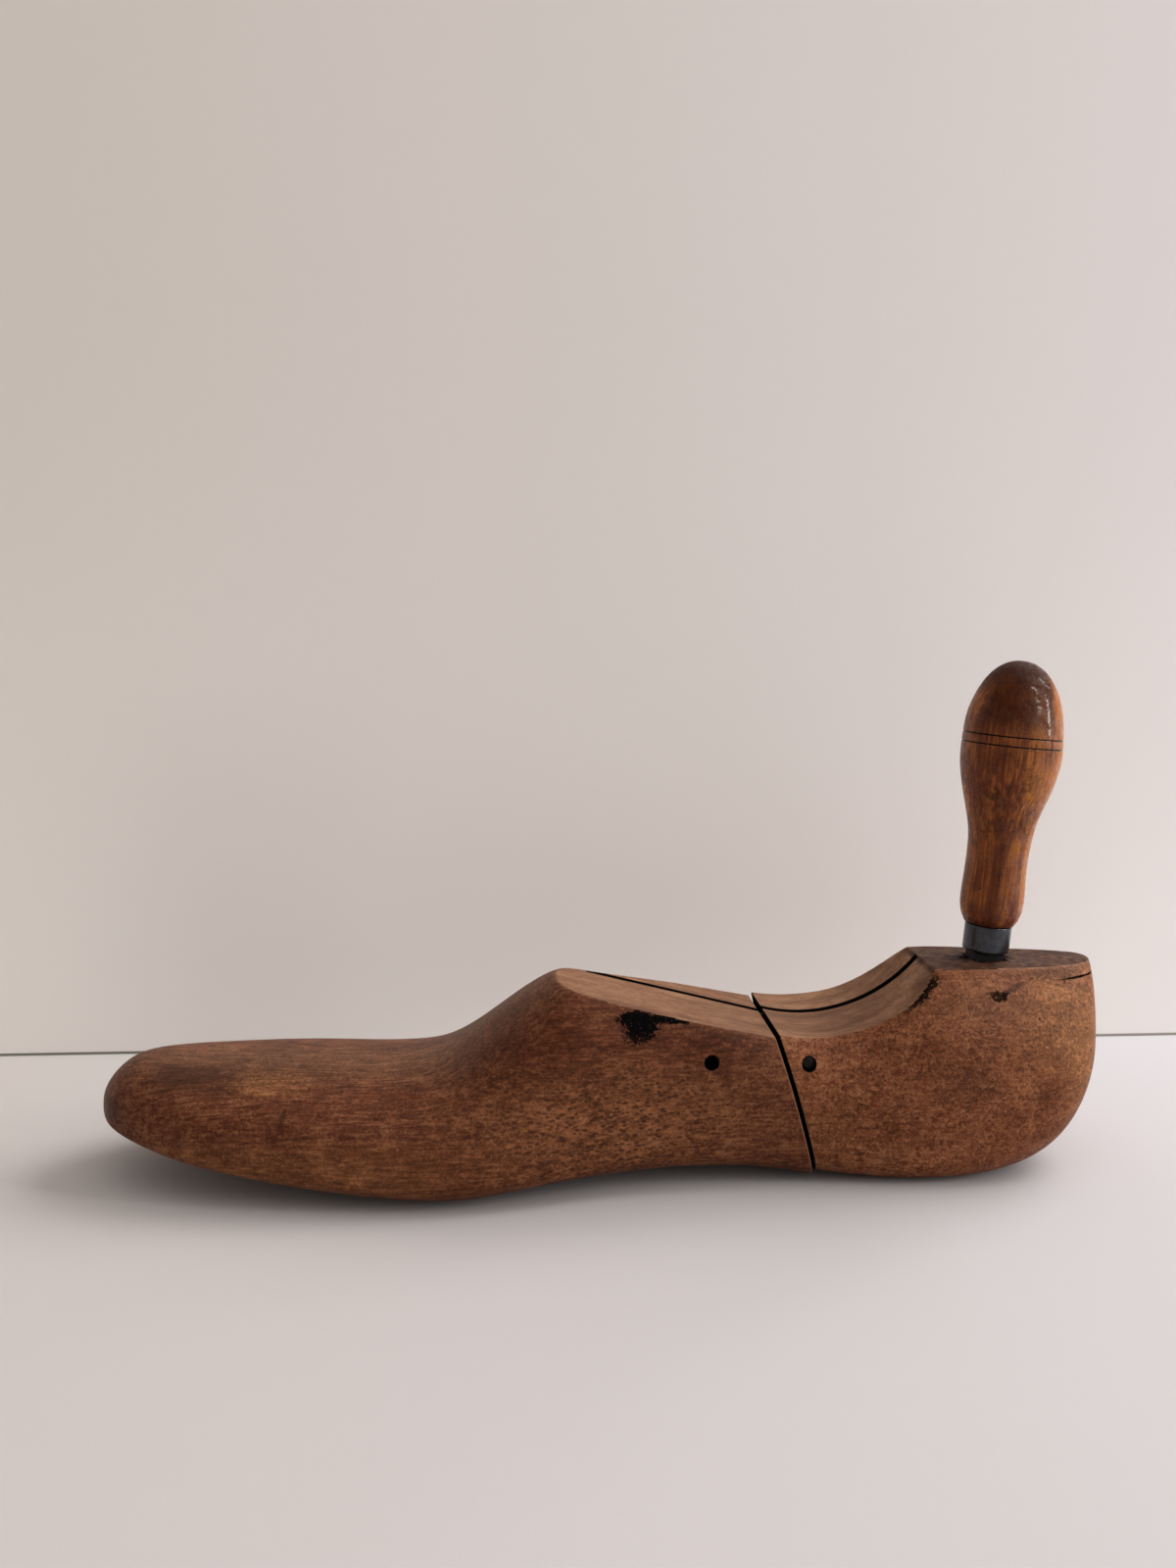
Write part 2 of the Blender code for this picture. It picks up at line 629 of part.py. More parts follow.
def grip_outline():
    """Outer side of the grip from the top down to its shoulder, as (radius, height) points."""
    base = FERRULE_BASE + FERRULE_LENGTH + FIT_GAP
    thick = base + GRIP_MIDDLE * GRIP_LENGTH
    dome = base + GRIP_LENGTH - thick
    power = 2.0 / GRIP_FULLNESS
    points = []
    for bend in np.linspace(0.0, 0.39 * math.pi, 7):
        points.append((GRIP_RADIUS * math.sin(bend) ** power, thick + dome * math.cos(bend) ** power))
    for place in (thick + RING_RISE, thick + RING_RISE - RING_SPACING):
        share = (1.0 - ((place - thick) / dome) ** GRIP_FULLNESS) ** (1.0 / GRIP_FULLNESS)
        full = GRIP_RADIUS * share
        points.append((full, place + RING_CUT))
        points.append((full - RING_CUT, place))
        points.append((full, place - RING_CUT))
    side = (
        (base, FERRULE_RADIUS + GRIP_LIP),
        (base + 0.030 * GRIP_LENGTH, 0.910 * GRIP_COLLAR),
        (base + 0.095 * GRIP_LENGTH, GRIP_COLLAR),
        (base + 0.200 * GRIP_LENGTH, 1.005 * GRIP_NECK),
        (base + 0.280 * GRIP_LENGTH, GRIP_NECK),
        (base + 0.360 * GRIP_LENGTH, 1.065 * GRIP_NECK),
        (base + 0.445 * GRIP_LENGTH, 0.765 * GRIP_RADIUS),
        (base + 0.550 * GRIP_LENGTH, 0.930 * GRIP_RADIUS),
        (thick, GRIP_RADIUS),
        (thick + 0.200 * dome, 0.985 * GRIP_RADIUS),
    )
    below_rings = thick + RING_RISE - 2.0 * RING_SPACING
    heights = np.linspace(below_rings, base, 22)
    points.extend(zip(smooth_line(side, heights).tolist(), heights.tolist()))
    return points


def make_grip(parts, wood, stand):
    """Turned grip: outer side, shoulder, the neck inside the ferrule and the bore for the spike."""
    neck = FERRULE_RADIUS - FERRULE_WALL - FIT_GAP
    bore = SPIKE_SIDE / math.sqrt(2.0) + FIT_GAP
    bore_top = FERRULE_BASE + SPIKE_LENGTH + FIT_GAP
    profile = grip_outline()
    base = profile[-1][1]
    profile.append((neck, base))
    profile.append((neck, FERRULE_BASE))
    profile.append((bore, FERRULE_BASE))
    profile.append((bore, bore_top))
    profile.append((0.0, bore_top))
    item = turned("handle_grip", profile, parts)
    item.parent = stand
    shade(item, wood, 30.0)
    return item


def make_ferrule(parts, steel, stand):
    """Steel tube round the grip's neck, with its two rims broken."""
    low = FERRULE_BASE
    high = FERRULE_BASE + FERRULE_LENGTH
    inner = FERRULE_RADIUS - FERRULE_WALL
    rim = FIT_GAP
    profile = [
        (FERRULE_RADIUS, high - rim),
        (FERRULE_RADIUS, low + rim),
        (FERRULE_RADIUS - rim, low),
        (inner, low),
        (inner, high),
        (FERRULE_RADIUS - rim, high),
        (FERRULE_RADIUS, high - rim),
    ]
    item = turned("ferrule", profile, parts)
    item.parent = stand
    shade(item, steel, 30.0)
    return item


def make_tang(parts, steel, stand):
    """Square bar with a blunt foot below and a thinner spike above."""
    shoulder = FERRULE_BASE - FIT_GAP
    length = TANG_LENGTH + shoulder
    middle = Matrix.Translation((0.0, 0.0, shoulder - length / 2.0))
    size = Matrix.Diagonal((TANG_SIDE, TANG_SIDE, length, 1.0))

    def build(work):
        bmesh.ops.create_cube(work, size=1.0, matrix=middle @ size)
        top = max(work.faces, key=lambda face: face.calc_center_median().z)
        ledge = (TANG_SIDE - SPIKE_SIDE) / 2.0
        bmesh.ops.inset_region(work, faces=[top], thickness=ledge, use_even_offset=True)
        pulled = bmesh.ops.extrude_face_region(work, geom=[top])
        tip = [spot for spot in pulled["geom"] if isinstance(spot, bmesh.types.BMVert)]
        bmesh.ops.delete(work, geom=[top], context="FACES_ONLY")
        for spot in tip:
            spot.co.x *= SPIKE_TAPER
            spot.co.y *= SPIKE_TAPER
            spot.co.z += SPIKE_LENGTH
        foot = min(work.faces, key=lambda face: face.calc_center_median().z)
        bmesh.ops.bevel(work, geom=list(foot.edges), offset=TANG_BEVEL, segments=1, affect="EDGES")
        bmesh.ops.recalc_face_normals(work, faces=work.faces)

    item = make_object("tang", mesh_from("tang", build), parts)
    item.parent = stand
    shade(item, steel, 30.0)
    return item


def world_box(items):
    """Lowest and highest corner of the finished shapes."""
    bpy.context.view_layer.update()
    graph = bpy.context.evaluated_depsgraph_get()
    corners = []
    for item in items:
        shape = item.evaluated_get(graph)
        mesh = shape.to_mesh()
        spots = np.empty(len(mesh.vertices) * 3)
        mesh.vertices.foreach_get("co", spots)
        placed = spots.reshape(-1, 3) @ np.array(shape.matrix_world.to_3x3()).T
        placed += np.array(shape.matrix_world.translation)
        corners.append(placed.min(axis=0))
        corners.append(placed.max(axis=0))
        shape.to_mesh_clear()
    return np.min(corners, axis=0), np.max(corners, axis=0)


def main():
    """Build the last, and stand it with its box centred over the origin."""
    for item in list(bpy.data.objects):
        bpy.data.objects.remove(item, do_unlink=True)
    parts = make_collection("cobbler_last")
    cutters = make_collection("cutters")

    last_wood = make_material("last_wood", (0.145, 0.068, 0.035), 0.55)
    grip_wood = make_material("grip_wood", (0.20, 0.075, 0.027), 0.38)
    bright_steel = make_material("ferrule_steel", (0.10, 0.10, 0.105), 0.38, 1.0)
    hinge_steel = make_material("hinge_steel", (0.045, 0.042, 0.040), 0.50, 1.0)
    iron = make_material("tang_iron", (0.03, 0.028, 0.027), 0.55, 1.0)

    stand = bpy.data.objects.new("handle_stand", None)
    stand.matrix_world = handle_place()
    parts.objects.link(stand)

    pieces = [
        make_forepart(parts, cutters, last_wood),
        make_heel_part(parts, cutters, last_wood),
        make_link(parts, hinge_steel),
        make_pin("front_hinge_pin", FRONT_PIN_X, FRONT_PIN_Z, 0.0, FRONT_PIN_RECESS, parts, hinge_steel),
        make_pin("rear_hinge_pin", REAR_PIN_X, REAR_PIN_Z, HEEL_STEP, REAR_PIN_RECESS, parts, hinge_steel),
        make_grip(parts, grip_wood, stand),
        make_ferrule(parts, bright_steel, stand),
        make_tang(parts, iron, stand),
    ]

    low, high = world_box(pieces)
    frame = bpy.data.objects.new("last_frame", None)
    parts.objects.link(frame)
    for item in list(parts.objects) + list(cutters.objects):
        if item is not frame and item.parent is None:
            item.parent = frame
    frame.location = (-(low[0] + high[0]) / 2.0, -(low[1] + high[1]) / 2.0, -low[2])
    bpy.context.view_layer.update()


main()
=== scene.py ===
"""A hinged wooden shoe last and its turned handle, dressed and lit for a picture.

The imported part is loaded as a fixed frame. Finer surfaces, each worked out with numpy from the same
sizes, stand for its solids, and every piece rides on the body that carries it. Metres, +Z up. The toe
points to -X, the heel to +X, and the inner side of the foot faces the camera, at -Y.
"""

from __future__ import annotations

import logging
import math
from dataclasses import dataclass, field
from enum import Enum

import bpy
import numpy as np
from mathutils import Matrix, Vector

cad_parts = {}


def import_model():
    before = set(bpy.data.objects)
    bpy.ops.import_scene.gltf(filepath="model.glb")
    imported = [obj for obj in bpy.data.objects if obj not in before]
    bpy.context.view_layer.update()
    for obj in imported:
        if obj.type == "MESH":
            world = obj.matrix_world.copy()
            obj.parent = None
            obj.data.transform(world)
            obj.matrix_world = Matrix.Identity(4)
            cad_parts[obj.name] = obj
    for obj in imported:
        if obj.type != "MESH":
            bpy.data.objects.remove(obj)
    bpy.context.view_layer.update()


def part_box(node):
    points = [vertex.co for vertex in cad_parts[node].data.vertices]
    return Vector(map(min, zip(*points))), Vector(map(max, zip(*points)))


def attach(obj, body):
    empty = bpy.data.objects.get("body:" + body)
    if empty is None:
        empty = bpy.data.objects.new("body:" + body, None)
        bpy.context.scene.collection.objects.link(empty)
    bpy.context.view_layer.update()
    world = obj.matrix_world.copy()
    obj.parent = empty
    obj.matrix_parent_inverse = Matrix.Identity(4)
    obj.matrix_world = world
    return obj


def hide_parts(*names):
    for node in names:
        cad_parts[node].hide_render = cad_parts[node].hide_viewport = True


LOG = logging.getLogger("shoe_last")
Array = np.ndarray
Triple = tuple[float, float, float]
Colour = Triple
Points = tuple[tuple[float, float], ...]
Item = bpy.types.Object
Material = bpy.types.Material
Mesh = bpy.types.Mesh
Node = bpy.types.Node
Socket = bpy.types.NodeSocket
QUARTER = math.pi / 2.0
HERE = Matrix.Identity(4)

# Angle between two faces, in degrees, from which their edge stays sharp
SAWN_SHARP_FROM = 38.0
BAR_SHARP_FROM = 40.0
TURNED_SHARP_FROM = 50.0

# A face within the first distance of the sawn top is sawn. The painted highlight along its rim fades
# over the second one, and lies no further than the third below the heel's flat top.
SAWN_WITHIN = 0.00012
RIM_HIGHLIGHT_REACH = 0.0006
RIM_HIGHLIGHT_DROP = 0.0012


# Shapes as whole arrays


class SmoothLine:
    """Natural cubic through (place, value) points.

    Between two points the value is a cubic. Its second derivatives at the points, the bends, solve
    one linear equation each, so that the slopes agree there, and they are nought at both ends.
    """

    def __init__(self, points: Points) -> None:
        """Solve for the bends of (place, value) pairs in rising order of place.

        Args:
            points: the pairs.
        """
        self.places = np.array([point[0] for point in points], dtype=float)
        self.values = np.array([point[1] for point in points], dtype=float)
        gaps = np.diff(self.places)
        slopes = np.diff(self.values) / gaps
        count = len(self.places)
        inner = np.arange(1, count - 1)
        matrix = np.eye(count)
        matrix[inner, inner - 1] = gaps[:-1]
        matrix[inner, inner] = 2.0 * (gaps[:-1] + gaps[1:])
        matrix[inner, inner + 1] = gaps[1:]
        right = np.zeros(count)
        right[inner] = 6.0 * np.diff(slopes)
        self.gaps = gaps
        self.bends = np.linalg.solve(matrix, right)

    def __call__(self, at: Array) -> Array:
        """Values of the line at places, in an array of any shape.

        Args:
            at: the places.

        Returns:
            The values, in the same shape.
        """
        at = np.asarray(at, dtype=float)
        span = np.clip(np.searchsorted(self.places, at) - 1, 0, len(self.gaps) - 1)
        before = at - self.places[span]
        after = self.places[span + 1] - at
        gap = self.gaps[span]
        low, high = self.bends[span], self.bends[span + 1]
        curve = (low * after**3 + high * before**3) / (6.0 * gap)
        start = (self.values[span] / gap - low * gap / 6.0) * after
        end = (self.values[span + 1] / gap - high * gap / 6.0) * before
        return curve + start + end


def scaled(size: float, *points: tuple[float, float]) -> Points:
    """Points whose values are given as shares of one size."""
    return tuple((at, share * size) for at, share in points)


def soft_least(first: Array, second: Array, width: float) -> Array:
    """Smaller of two values, rounded where they cross.

    The plain minimum, less a parabola a quarter of the width deep where the two differ by less than
    the width.

    Args:
        first: one value.
        second: the other value.
        width: the difference at which the rounding starts.

    Returns:
        The rounded minimum.
    """
    close = np.clip(width - np.abs(first - second), 0.0, None) / width
    return np.minimum(first, second) - close**2 * width / 4.0


def spread(weight: Array, count: int) -> Array:
    """Shares of a line, close together where the weight is high.

    The running sum of the weight is cut into equal steps, and each middle is read back as a share.

    Args:
        weight: how close the shares lie, sampled evenly along the line.
        count: how many shares.

    Returns:
        Rising shares between 0 and 1.
    """
    total = np.concatenate([[0.0], np.cumsum(weight)])
    steps = (np.arange(count) + 0.5) / count * total[-1]
    return np.interp(steps, total, np.linspace(0.0, 1.0, len(total)))


def mesh_from_arrays(name: str, points: Array, faces: list[Array]) -> Mesh:
    """Mesh from whole arrays.

    Args:
        name: name of the mesh.
        points: (count, 3) places.
        faces: arrays of vertex numbers, one row a face, three or four to a row.

    Returns:
        The mesh.
    """
    corners = np.concatenate([block.ravel() for block in faces]).astype(np.int32)
    sizes = np.concatenate([np.full(len(block), block.shape[1]) for block in faces]).astype(np.int32)
    starts = np.concatenate([[0], np.cumsum(sizes)[:-1]]).astype(np.int32)
    mesh = bpy.data.meshes.new(name)
    mesh.vertices.add(len(points))
    mesh.vertices.foreach_set("co", points.astype(np.float32).ravel())
    mesh.loops.add(len(corners))
    mesh.loops.foreach_set("vertex_index", corners)
    mesh.polygons.add(len(sizes))
    mesh.polygons.foreach_set("loop_start", starts)
    mesh.update(calc_edges=True)
    mesh.validate()
    return mesh


def closed_skin(name: str, rings: Array, start: Array | None = None, end: Array | None = None,
                place: Matrix = HERE) -> Mesh:
    """Closed surface through rings of points.

    Neighbouring rings are joined by four-sided faces. A pole closes each end with triangles, and with
    no poles the last ring joins the first.

    Args:
        name: name of the mesh.
        rings: (ring, place round it, 3) points, turning so that faces point outwards.
        start: pole before the first ring.
        end: pole after the last ring.
        place: where the frame of all these points stands.

    Returns:
        The mesh.
    """
    count, around = rings.shape[:2]
    spots = np.arange(count * around).reshape(count, around)
    after = np.roll(spots, -1, axis=1)
    last = count if start is None else count - 1
    above = np.roll(spots, -1, axis=0)
    above_after = np.roll(after, -1, axis=0)
    faces = [np.stack([spots, after, above_after, above], axis=-1)[:last].reshape(-1, 4)]
    points = rings.reshape(-1, 3)
    if start is not None and end is not None:
        points = np.vstack([points, start, end])
        pole = np.full(around, count * around)
        faces.append(np.stack([pole, after[0], spots[0]], axis=-1))
        faces.append(np.stack([pole + 1, spots[-1], after[-1]], axis=-1))
    return mesh_from_arrays(name, placed(points, place), faces)


def turned_rings(profile: Array, around: int) -> Array:
    """Rings of a turned piece: each (radius, height) of its profile carried once round the Z axis.

    Args:
        profile: (count, 2) radii and heights, the outer side from low to high.
        around: points round each ring.

    Returns:
        (count, around, 3) points.
    """
    turn = np.linspace(0.0, 2.0 * math.pi, around, endpoint=False)
    radius, height = profile[:, :1], profile[:, 1:]
    return np.stack([radius * np.cos(turn), radius * np.sin(turn), height + 0.0 * turn], axis=2)


def placed(points: Array, place: Matrix) -> Array:
    """Points, (..., 3), carried to where their own frame stands."""
    matrix = np.array(place, dtype=float)
    return points @ matrix[:3, :3].T + matrix[:3, 3]


def on_axis(height: float) -> Array:
    """Point on the Z axis."""
    return np.array([0.0, 0.0, height])


def rod(name: str, radius: float, length: float, sides: int, place: Matrix, edge: float = 0.0) -> Mesh:
    """Straight round bar along Z, centred on its place.

    Args:
        name: name of the mesh.
        radius: radius of the bar.
        length: length of the bar.
        sides: points round it.
        place: where it stands.
        edge: radius of its rounded rims.

    Returns:
        The mesh.
    """
    half = length / 2.0
    bend = np.linspace(0.0, QUARTER, 5 if edge else 1)
    rim = np.column_stack([radius - edge * (1.0 - np.cos(bend)), half - edge * (1.0 - np.sin(bend))])
    rings = turned_rings(np.vstack([rim[::-1] * (1.0, -1.0), rim]), sides)
    return closed_skin(name, rings, on_axis(-half), on_axis(half), place)


def along_y(x: float, y: float, z: float) -> Matrix:
    """Place of a bar that lies along Y, with its middle at a point."""
    return Matrix.Translation((x, y, z)) @ Matrix.Rotation(-QUARTER, 4, "X")


# Pieces in the scene


class Body(Enum):
    """The moving bodies of the part."""

    FOREPART = "forepart"
    LINK = "link"
    HEEL = "heel"
    HANDLE = "handle"


def new_item(name: str, data: bpy.types.ID) -> Item:
    """New object in the scene for a mesh, a lamp or a camera.

    Args:
        name: its name.
        data: the mesh, lamp or camera.

    Returns:
        The object.
    """
    item = bpy.data.objects.new(name, data)
    bpy.context.scene.collection.objects.link(item)
    return item


def make_piece(mesh: Mesh, sharp_from: float) -> Item:
    """Object for a mesh in place, named after it.

    Args:
        mesh: the mesh.
        sharp_from: angle between faces, in degrees, from which their edge stays sharp.

    Returns:
        The object, at the origin.
    """
    mesh.shade_smooth()
    mesh.set_sharp_from_angle(angle=math.radians(sharp_from))
    return new_item(mesh.name, mesh)


def cut_away(piece: Item, cutters: list[Mesh]) -> None:
    """Take the volume of each cutter out of a piece, for good.

    Args:
        piece: the piece.
        cutters: closed meshes, in place.
    """
    helpers = []
    for mesh in cutters:
        boolean = piece.modifiers.new(mesh.name, "BOOLEAN")
        boolean.operation = "DIFFERENCE"
        boolean.solver = "EXACT"
        boolean.object = new_item(mesh.name, mesh)
        helpers.append(boolean.object)
    graph = bpy.context.evaluated_depsgraph_get()
    done = bpy.data.meshes.new_from_object(piece.evaluated_get(graph))
    piece.modifiers.clear()
    piece.data = done
    for helper in helpers:
        bpy.data.objects.remove(helper)


def mark_sawn(piece: Item, shape: LastShape, shift: Vector, step: float) -> None:
    """Write two values to each face: whether it lies on the sawn top, and how near it is to its rim, where a
    highlight is painted.

    Args:
        piece: a part of the last, already cut.
        shape: the last.
        shift: from the last's own frame to the part's.
        step: how much higher this part of the last sits.
    """
    mesh = piece.data
    centres = np.empty(len(mesh.polygons) * 3, dtype=np.float32)
    mesh.polygons.foreach_get("center", centres)
    x, _, z = (centres.reshape(-1, 3) - np.array(shift)).T
    gap = np.abs(z - step - shape.sawn_top(x))
    sawn = (gap < SAWN_WITHIN) & (x > shape.saddle_at - shape.sawn_reach)
    # Faces just below the edge of the heel's flat top get a painted highlight along that edge
    rim = np.exp(-((gap / RIM_HIGHLIGHT_REACH) ** 2)) * (z > shape.heel_top - RIM_HIGHLIGHT_DROP) * (x > shape.saddle_at)
    for name, value in (("sawn", sawn), ("rim", np.where(sawn, 0.0, rim))):
        layer = mesh.attributes.new(name, "FLOAT", "FACE")
        layer.data.foreach_set("value", value.astype(np.float32))


def dress(piece: Item, material: Material, body: Body, node: str) -> None:
    """Give a finished piece its material, its body and the solid that it stands for.

    Args:
        piece: the piece.
        material: its material.
        body: the body that it moves with.
        node: the solid that it stands for.
    """
    piece.data.materials.clear()
    piece.data.materials.append(material)
    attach(piece, body.value)
    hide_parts(node)
    LOG.info("%s: %d faces", piece.name, len(piece.data.polygons))


# Finishes


class Value:
    """Number that a shader works out. It adds, subtracts and multiplies like a plain one."""

    def __init__(self, graph: Graph, socket: Socket) -> None:
        """Hold an output socket of a graph."""
        self.graph = graph
        self.socket = socket

    def __add__(self, other: Value | float) -> Value:
        """Sum."""
        return self.graph.calc("ADD", self, other)

    def __sub__(self, other: Value | float) -> Value:
        """Difference."""
        return self.graph.calc("SUBTRACT", self, other)

    def __rsub__(self, other: float) -> Value:
        """Difference from a plain number."""
        return self.graph.calc("SUBTRACT", other, self)

    def __mul__(self, other: Value | float) -> Value:
        """Product."""
        return self.graph.calc("MULTIPLY", self, other)

    def __or__(self, other: Value | float) -> Value:
        """Larger of two: of masks, where either of them is."""
        return self.graph.calc("MAXIMUM", self, other)

    def __abs__(self) -> Value:
        """Size without the sign."""
        return self.graph.calc("ABSOLUTE", self)

    __radd__ = __add__
    __rmul__ = __mul__


class Graph:
    """Shader nodes of one material or world, added and linked by short calls."""

    def __init__(self, owner: Material | bpy.types.World) -> None:
        """Start on the nodes of a new material or world.

        Args:
            owner: the material or world.
        """
        owner.use_nodes = True
        self.owner = owner
        self.tree = owner.node_tree
        self.place = self.add("ShaderNodeTexCoord").outputs["Object"]

    def add(self, kind: str, **inputs: object) -> Node:
        """New node.

        Args:
            kind: its type.
            inputs: values or sockets by input name, where _ stands for a space.

        Returns:
            The node.
        """
        node = self.tree.nodes.new(kind)
        for name, value in inputs.items():
            self.feed(node.inputs[name.replace("_", " ")], value)
        return node

    def feed(self, socket: Socket, value: object) -> None:
        """Link an output to an input, or set the input's value.

        Args:
            socket: the input.
            value: the output or value.
        """
        if isinstance(value, Value):
            value = value.socket
        if isinstance(value, Socket):
            self.tree.links.new(value, socket)
        else:
            socket.default_value = value

    def worked(self, kind: str, work: str, values: tuple[object, ...]) -> Node:
        """New node that does some work on its inputs.

        Args:
            kind: its type.
            work: what it does.
            values: its inputs in order.

        Returns:
            The node.
        """
        node = self.add(kind)
        node.operation = work
        for socket, value in zip(node.inputs, values):
            self.feed(socket, value)
        return node

    def calc(self, work: str, *values: Value | float) -> Value:
        """Result of work on numbers."""
        return Value(self, self.worked("ShaderNodeMath", work, values).outputs[0])

    def vector(self, work: str, *values: object) -> Node:
        """Node that works on whole vectors."""
        return self.worked("ShaderNodeVectorMath", work, values)

    def axes(self, source: Socket | None = None) -> tuple[Value, Value, Value]:
        """X, Y and Z of a vector, or of the place in the piece."""
        x, y, z = self.add("ShaderNodeSeparateXYZ", Vector=source or self.place).outputs
        return Value(self, x), Value(self, y), Value(self, z)

    def attribute(self, name: str) -> Value:
        """Value that the mesh gives each face.

        Args:
            name: name of the attribute.

        Returns:
            The value.
        """
        node = self.add("ShaderNodeAttribute")
        node.attribute_name = name
        return Value(self, node.outputs["Fac"])

    def stretched(self, scale: Triple, turn: Triple = (0.0, 0.0, 0.0),
                  source: Socket | None = None) -> Socket:
        """A vector, or the place in the piece, turned and then multiplied by a scale on each axis."""
        source = source or self.place
        return self.add("ShaderNodeMapping", Vector=source, Rotation=turn, Scale=scale).outputs[0]

    def noise(self, scale: float, detail: float, rough: float, source: Socket | None = None,
              swirl: float = 0.0) -> Value:
        """Cloudy value around one half.

        Args:
            scale: clouds to the metre, or to one unit of the source.
            detail: how many finer layers.
            rough: strength of each finer layer.
            source: the vector read, or none for the place in the piece.
            swirl: distortion.

        Returns:
            The value.
        """
        node = self.add("ShaderNodeTexNoise", Vector=source or self.place, Scale=scale, Detail=detail,
                        Roughness=rough, Distortion=swirl)
        return Value(self, node.outputs["Fac"])

    def steps(self, value: object, low: float, high: float, smooth: bool = True) -> Value:
        """Value carried from low..high to 0..1 and held there.

        Args:
            value: the value.
            low: where the result is 0.
            high: where it is 1, which may be the smaller one.
            smooth: whether it starts and ends gently.

        Returns:
            The result.
        """
        node = self.add("ShaderNodeMapRange", Value=value, From_Min=min(low, high), From_Max=max(low, high))
        node.interpolation_type = "SMOOTHSTEP" if smooth else "LINEAR"
        share = Value(self, node.outputs[0])
        return share if low < high else 1.0 - share

    def ramp(self, value: Value, places: tuple[float, ...], *colours: Colour) -> Socket:
        """Colour read from a ramp.

        Args:
            value: what is looked up.
            places: the ramp's stops from low to high.
            colours: the colour of each.

        Returns:
            The colour socket.
        """
        node = self.add("ShaderNodeValToRGB", Fac=value)
        band = node.color_ramp
        while len(band.elements) < len(places):
            band.elements.new(0.5)
        for element, where, colour in zip(band.elements, places, colours):
            element.position = where
            element.color = (*colour, 1.0)
        return node.outputs[0]

    def mix(self, share: Value | float, first: object, second: object, how: str = "MIX") -> Socket:
        """Colour between two colours.

        Args:
            share: how much of the second.
            first: colour or socket.
            second: colour or socket.
            how: blend type.

        Returns:
            The colour socket.
        """
        node = self.add("ShaderNodeMix")
        node.data_type = "RGBA"
        node.blend_type = how
        self.feed(node.inputs["Factor"], share)
        for socket, colour in ((node.inputs["A"], first), (node.inputs["B"], second)):
            self.feed(socket, colour if isinstance(colour, Socket) else (*colour, 1.0))
        return node.outputs["Result"]

    def either(self, share: Socket, first: Node, second: Node, output: str) -> None:
        """Join two shaders to the output.

        Args:
            share: how much of the second.
            first: one shader.
            second: the other.
            output: name of the output node.
        """
        both = self.add("ShaderNodeMixShader")
        for socket, source in zip(both.inputs, (share, first.outputs[0], second.outputs[0])):
            self.feed(socket, source)
        self.feed(self.tree.nodes[output].inputs["Surface"], both.outputs[0])

    def finish(self, colour: object, rough: Value | float, height: Value, depth: float,
               **more: object) -> Material:
        """Join colour, roughness and a bump to the shader.

        Args:
            colour: base colour.
            rough: roughness.
            height: height of the surface's fine relief, about 0 to 1.
            depth: what a height of 1 stands for, in metres.
            more: other inputs of the shader by name, where _ stands for a space.

        Returns:
            The material.
        """
        bump = self.add("ShaderNodeBump", Strength=1.0, Distance=depth, Height=height)
        values = {"Base_Color": colour, "Roughness": rough, "Normal": bump.outputs[0], **more}
        for name, value in values.items():
            self.feed(self.tree.nodes["Principled BSDF"].inputs[name.replace("_", " ")], value)
        return self.owner


@dataclass(frozen=True)
class Mark:
    """Oval stain, scuff, worn patch, painted light or painted shade, in the last's own frame, with half
    sizes and an edge in those.
    """

    at: Triple
    reach: Triple
    colour: Colour
    strength: float = 1.0
    lean: float = 0.0
    edge: float = 0.3
    ragged: float = 0.0
    grain: float = 300.0

    def mask(self, graph: Graph, shift: Vector) -> Value:
        """Where the mark lies, as a share of its full strength.

        The distance from its middle, counted in half sizes, is shifted by noise and stepped at 1.

        Args:
            graph: the material's nodes.
            shift: from the last's own frame to the part's.

        Returns:
            The share.
        """
        own = graph.add("ShaderNodeMapping", Vector=graph.place, Location=Vector(self.at) + shift,
                        Rotation=(0.0, self.lean, 0.0), Scale=self.reach)
        own.vector_type = "TEXTURE"
        distance = Value(graph, graph.vector("LENGTH", own.outputs[0]).outputs["Value"])
        if self.ragged:
            distance += (graph.noise(self.grain, 4.0, 0.65) - 0.5) * (2.0 * self.ragged)
        return graph.steps(distance, 1.0 + self.edge / 2.0, 1.0 - self.edge / 2.0) * self.strength


@dataclass(frozen=True)
class Hollow:
    """A cut in the wood, whose walls are painted black as shade: the blade's slot, the break or a bore.

    Seen along Y it is a ring, of a radius round its centre, with its wall on either side. The slot is
    a disc instead, with a half width across the last.
    """

    centre: tuple[float, float]
    radius: float
    wall: float
    y: float = 0.0
    half_width: float | None = None
    # How strongly the wood beside the cut is painted pale, as a highlight on its edge
    pale: float = 0.0

    def depth(self, graph: Graph, shift: Vector) -> Value:
        """Distance from the ring, or how far a place lies outside the disc.

        Args:
            graph: the material's nodes.
            shift: from the last's own frame to the part's.

        Returns:
            The distance.
        """
        x, y, z = graph.axes()
        across = x - (self.centre[0] + shift.x)
        up = z - (self.centre[1] + shift.z)
        depth = graph.calc("SQRT", across * across + up * up) - self.radius
        if self.half_width is None:
            return abs(depth)
        return depth | abs(y - (self.y + shift.y)) - self.half_width


# Pale tan: painted light and sheen on surfaces that catch the window's light
LIT_TAN: Colour = (0.255, 0.108, 0.038)
GOLD: Colour = (0.205, 0.078, 0.032)
RUST: Colour = (0.085, 0.020, 0.007)
UMBER: Colour = (0.040, 0.013, 0.006)
# Greyish tan: painted sheen on the tops of the toe and the instep
SHEEN_DRAB: Colour = (0.118, 0.056, 0.027)
SOOT: Colour = (0.003, 0.003, 0.003)


